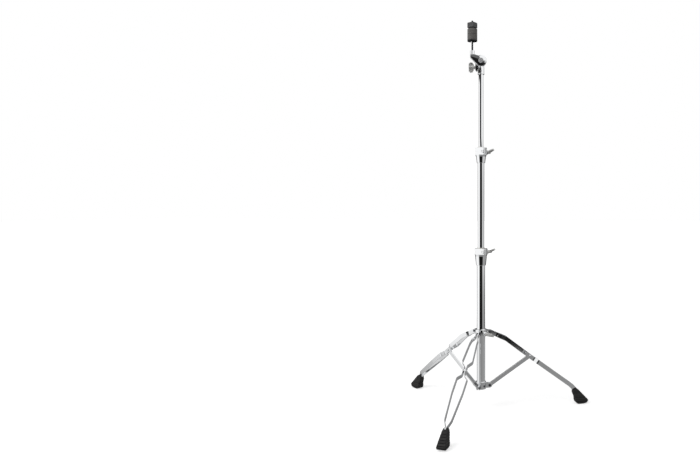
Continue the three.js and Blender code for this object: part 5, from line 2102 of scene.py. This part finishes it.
    def floor(self) -> None:
        """Lays the pale floor, which shows a shadow; reflections see it grey nearby."""
        activate()
        bpy.ops.mesh.primitive_plane_add(size=self.floor_size, location=(0, 0, -self.floor_drop))
        floor = bpy.context.object
        floor.name = "studio_floor"
        material = bpy.data.materials.new("matt_white_floor")
        material.use_nodes = True
        tree = material.node_tree
        tree.nodes.clear()
        place = add_node(tree, "NewGeometry").outputs["Position"]
        settings = {"operation": "SUBTRACT", 1: column_axis()}
        outward = add_node(tree, "VectorMath", settings, {0: place}).outputs[0]
        length, level = ({"operation": kind} for kind in ("LENGTH", "NORMALIZE"))
        reach = add_node(tree, "VectorMath", length, {0: outward}).outputs["Value"]
        heading = add_node(tree, "VectorMath", level, {0: outward}).outputs[0]
        share, beside = self.compass(tree, heading)
        drop = self.soft(tree, reach, *self.screen_fade_by_reach)
        screens = self.faded(tree, self.ring(tree, share, self.level_tones), beside, drop)
        near = self.ring(tree, share, self.near_tones)
        tone = mixed(tree, self.soft(tree, reach, *self.screens_by_reach), near, screens)
        matt = add_node(tree, "BsdfDiffuse", {"Color": linear(self.floor_colour)}).outputs[0]
        lift = self.soft(tree, reach, *self.glow_by_reach)
        glow = add_node(tree, "Emission", {"Color": (1, 1, 1, 1)}, {"Strength": lift}).outputs[0]
        pale = add_node(tree, "AddShader", {}, {0: matt, 1: glow}).outputs[0]
        shown = self.shared(tree, "Emission", tone, matt, pale)
        add_node(tree, "OutputMaterial", {}, {0: shown})
        floor.data.materials.append(material)

    def from_column(self, ahead: float, beside: float, height: float) -> Vector:
        """Gives a place, in metres, by how far it is from the column towards the camera."""
        level = self.towards * ahead + self.rightward * beside
        return column_axis() + level + Vector((0, 0, height))

    def lamp(self) -> None:
        """Hangs one soft lamp above and left of the camera, aimed at the column."""
        place = self.from_column(*self.lamp_reach)
        target = self.from_column(0, 0, self.lamp_target)
        activate()
        bpy.ops.object.light_add(type="AREA", location=place)
        lamp = bpy.context.object
        lamp.rotation_euler = (target - place).to_track_quat("-Z", "Y").to_euler()
        lamp.data.energy = self.lamp_watts
        lamp.data.size = self.lamp_size
        lamp.visible_glossy = False

    def camera(self) -> None:
        """Sets the level camera at the photograph's place."""
        activate()
        place = self.from_column(self.distance, 0, self.camera_height)
        bpy.ops.object.camera_add(location=place)
        camera = bpy.context.object
        camera.rotation_euler = (math.radians(90), 0, math.radians(FACING_DEG))
        camera.data.sensor_width = self.sensor_width
        camera.data.lens = self.focal_length
        camera.data.shift_x = self.shift_x
        camera.data.shift_y = self.shift_y
        bpy.context.scene.camera = camera

    def build(self) -> None:
        """Sets up the whole studio."""
        bpy.context.scene.view_settings.view_transform = "Standard"
        self.world()
        self.floor()
        self.lamp()
        self.camera()


def main() -> None:
    """Builds the stand, from the column outwards, in its studio."""
    logging.basicConfig(level=logging.INFO, format="%(name)s: %(message)s")
    for tube in (
        Tube("base_tube", BASE_RADIUS, 75.3, BASE_TOP),
        Tube("middle_tube", MIDDLE_RADIUS, 354.9, MIDDLE_TOP),
        Tube("upper_tube", UPPER_RADIUS, 699.4, UPPER_TOP)
    ):
        tube.build()
    HeightClamp("base", BASE_RADIUS, MIDDLE_RADIUS, 33.6, 23, BASE_TOP).build()
    HeightClamp("middle", MIDDLE_RADIUS, UPPER_RADIUS, 24, 28, MIDDLE_TOP).build()
    tilter = Tilter(PIVOT_HEIGHT)
    tilter.build()
    CymbalSeat(tilter.place @ shifted(-tilter.rod_offset, -tilter.rod_forward, 0)).build()
    TubeFittings().build()
    Legs().build()
    Studio().build()


if __name__ == "__main__":
    main()
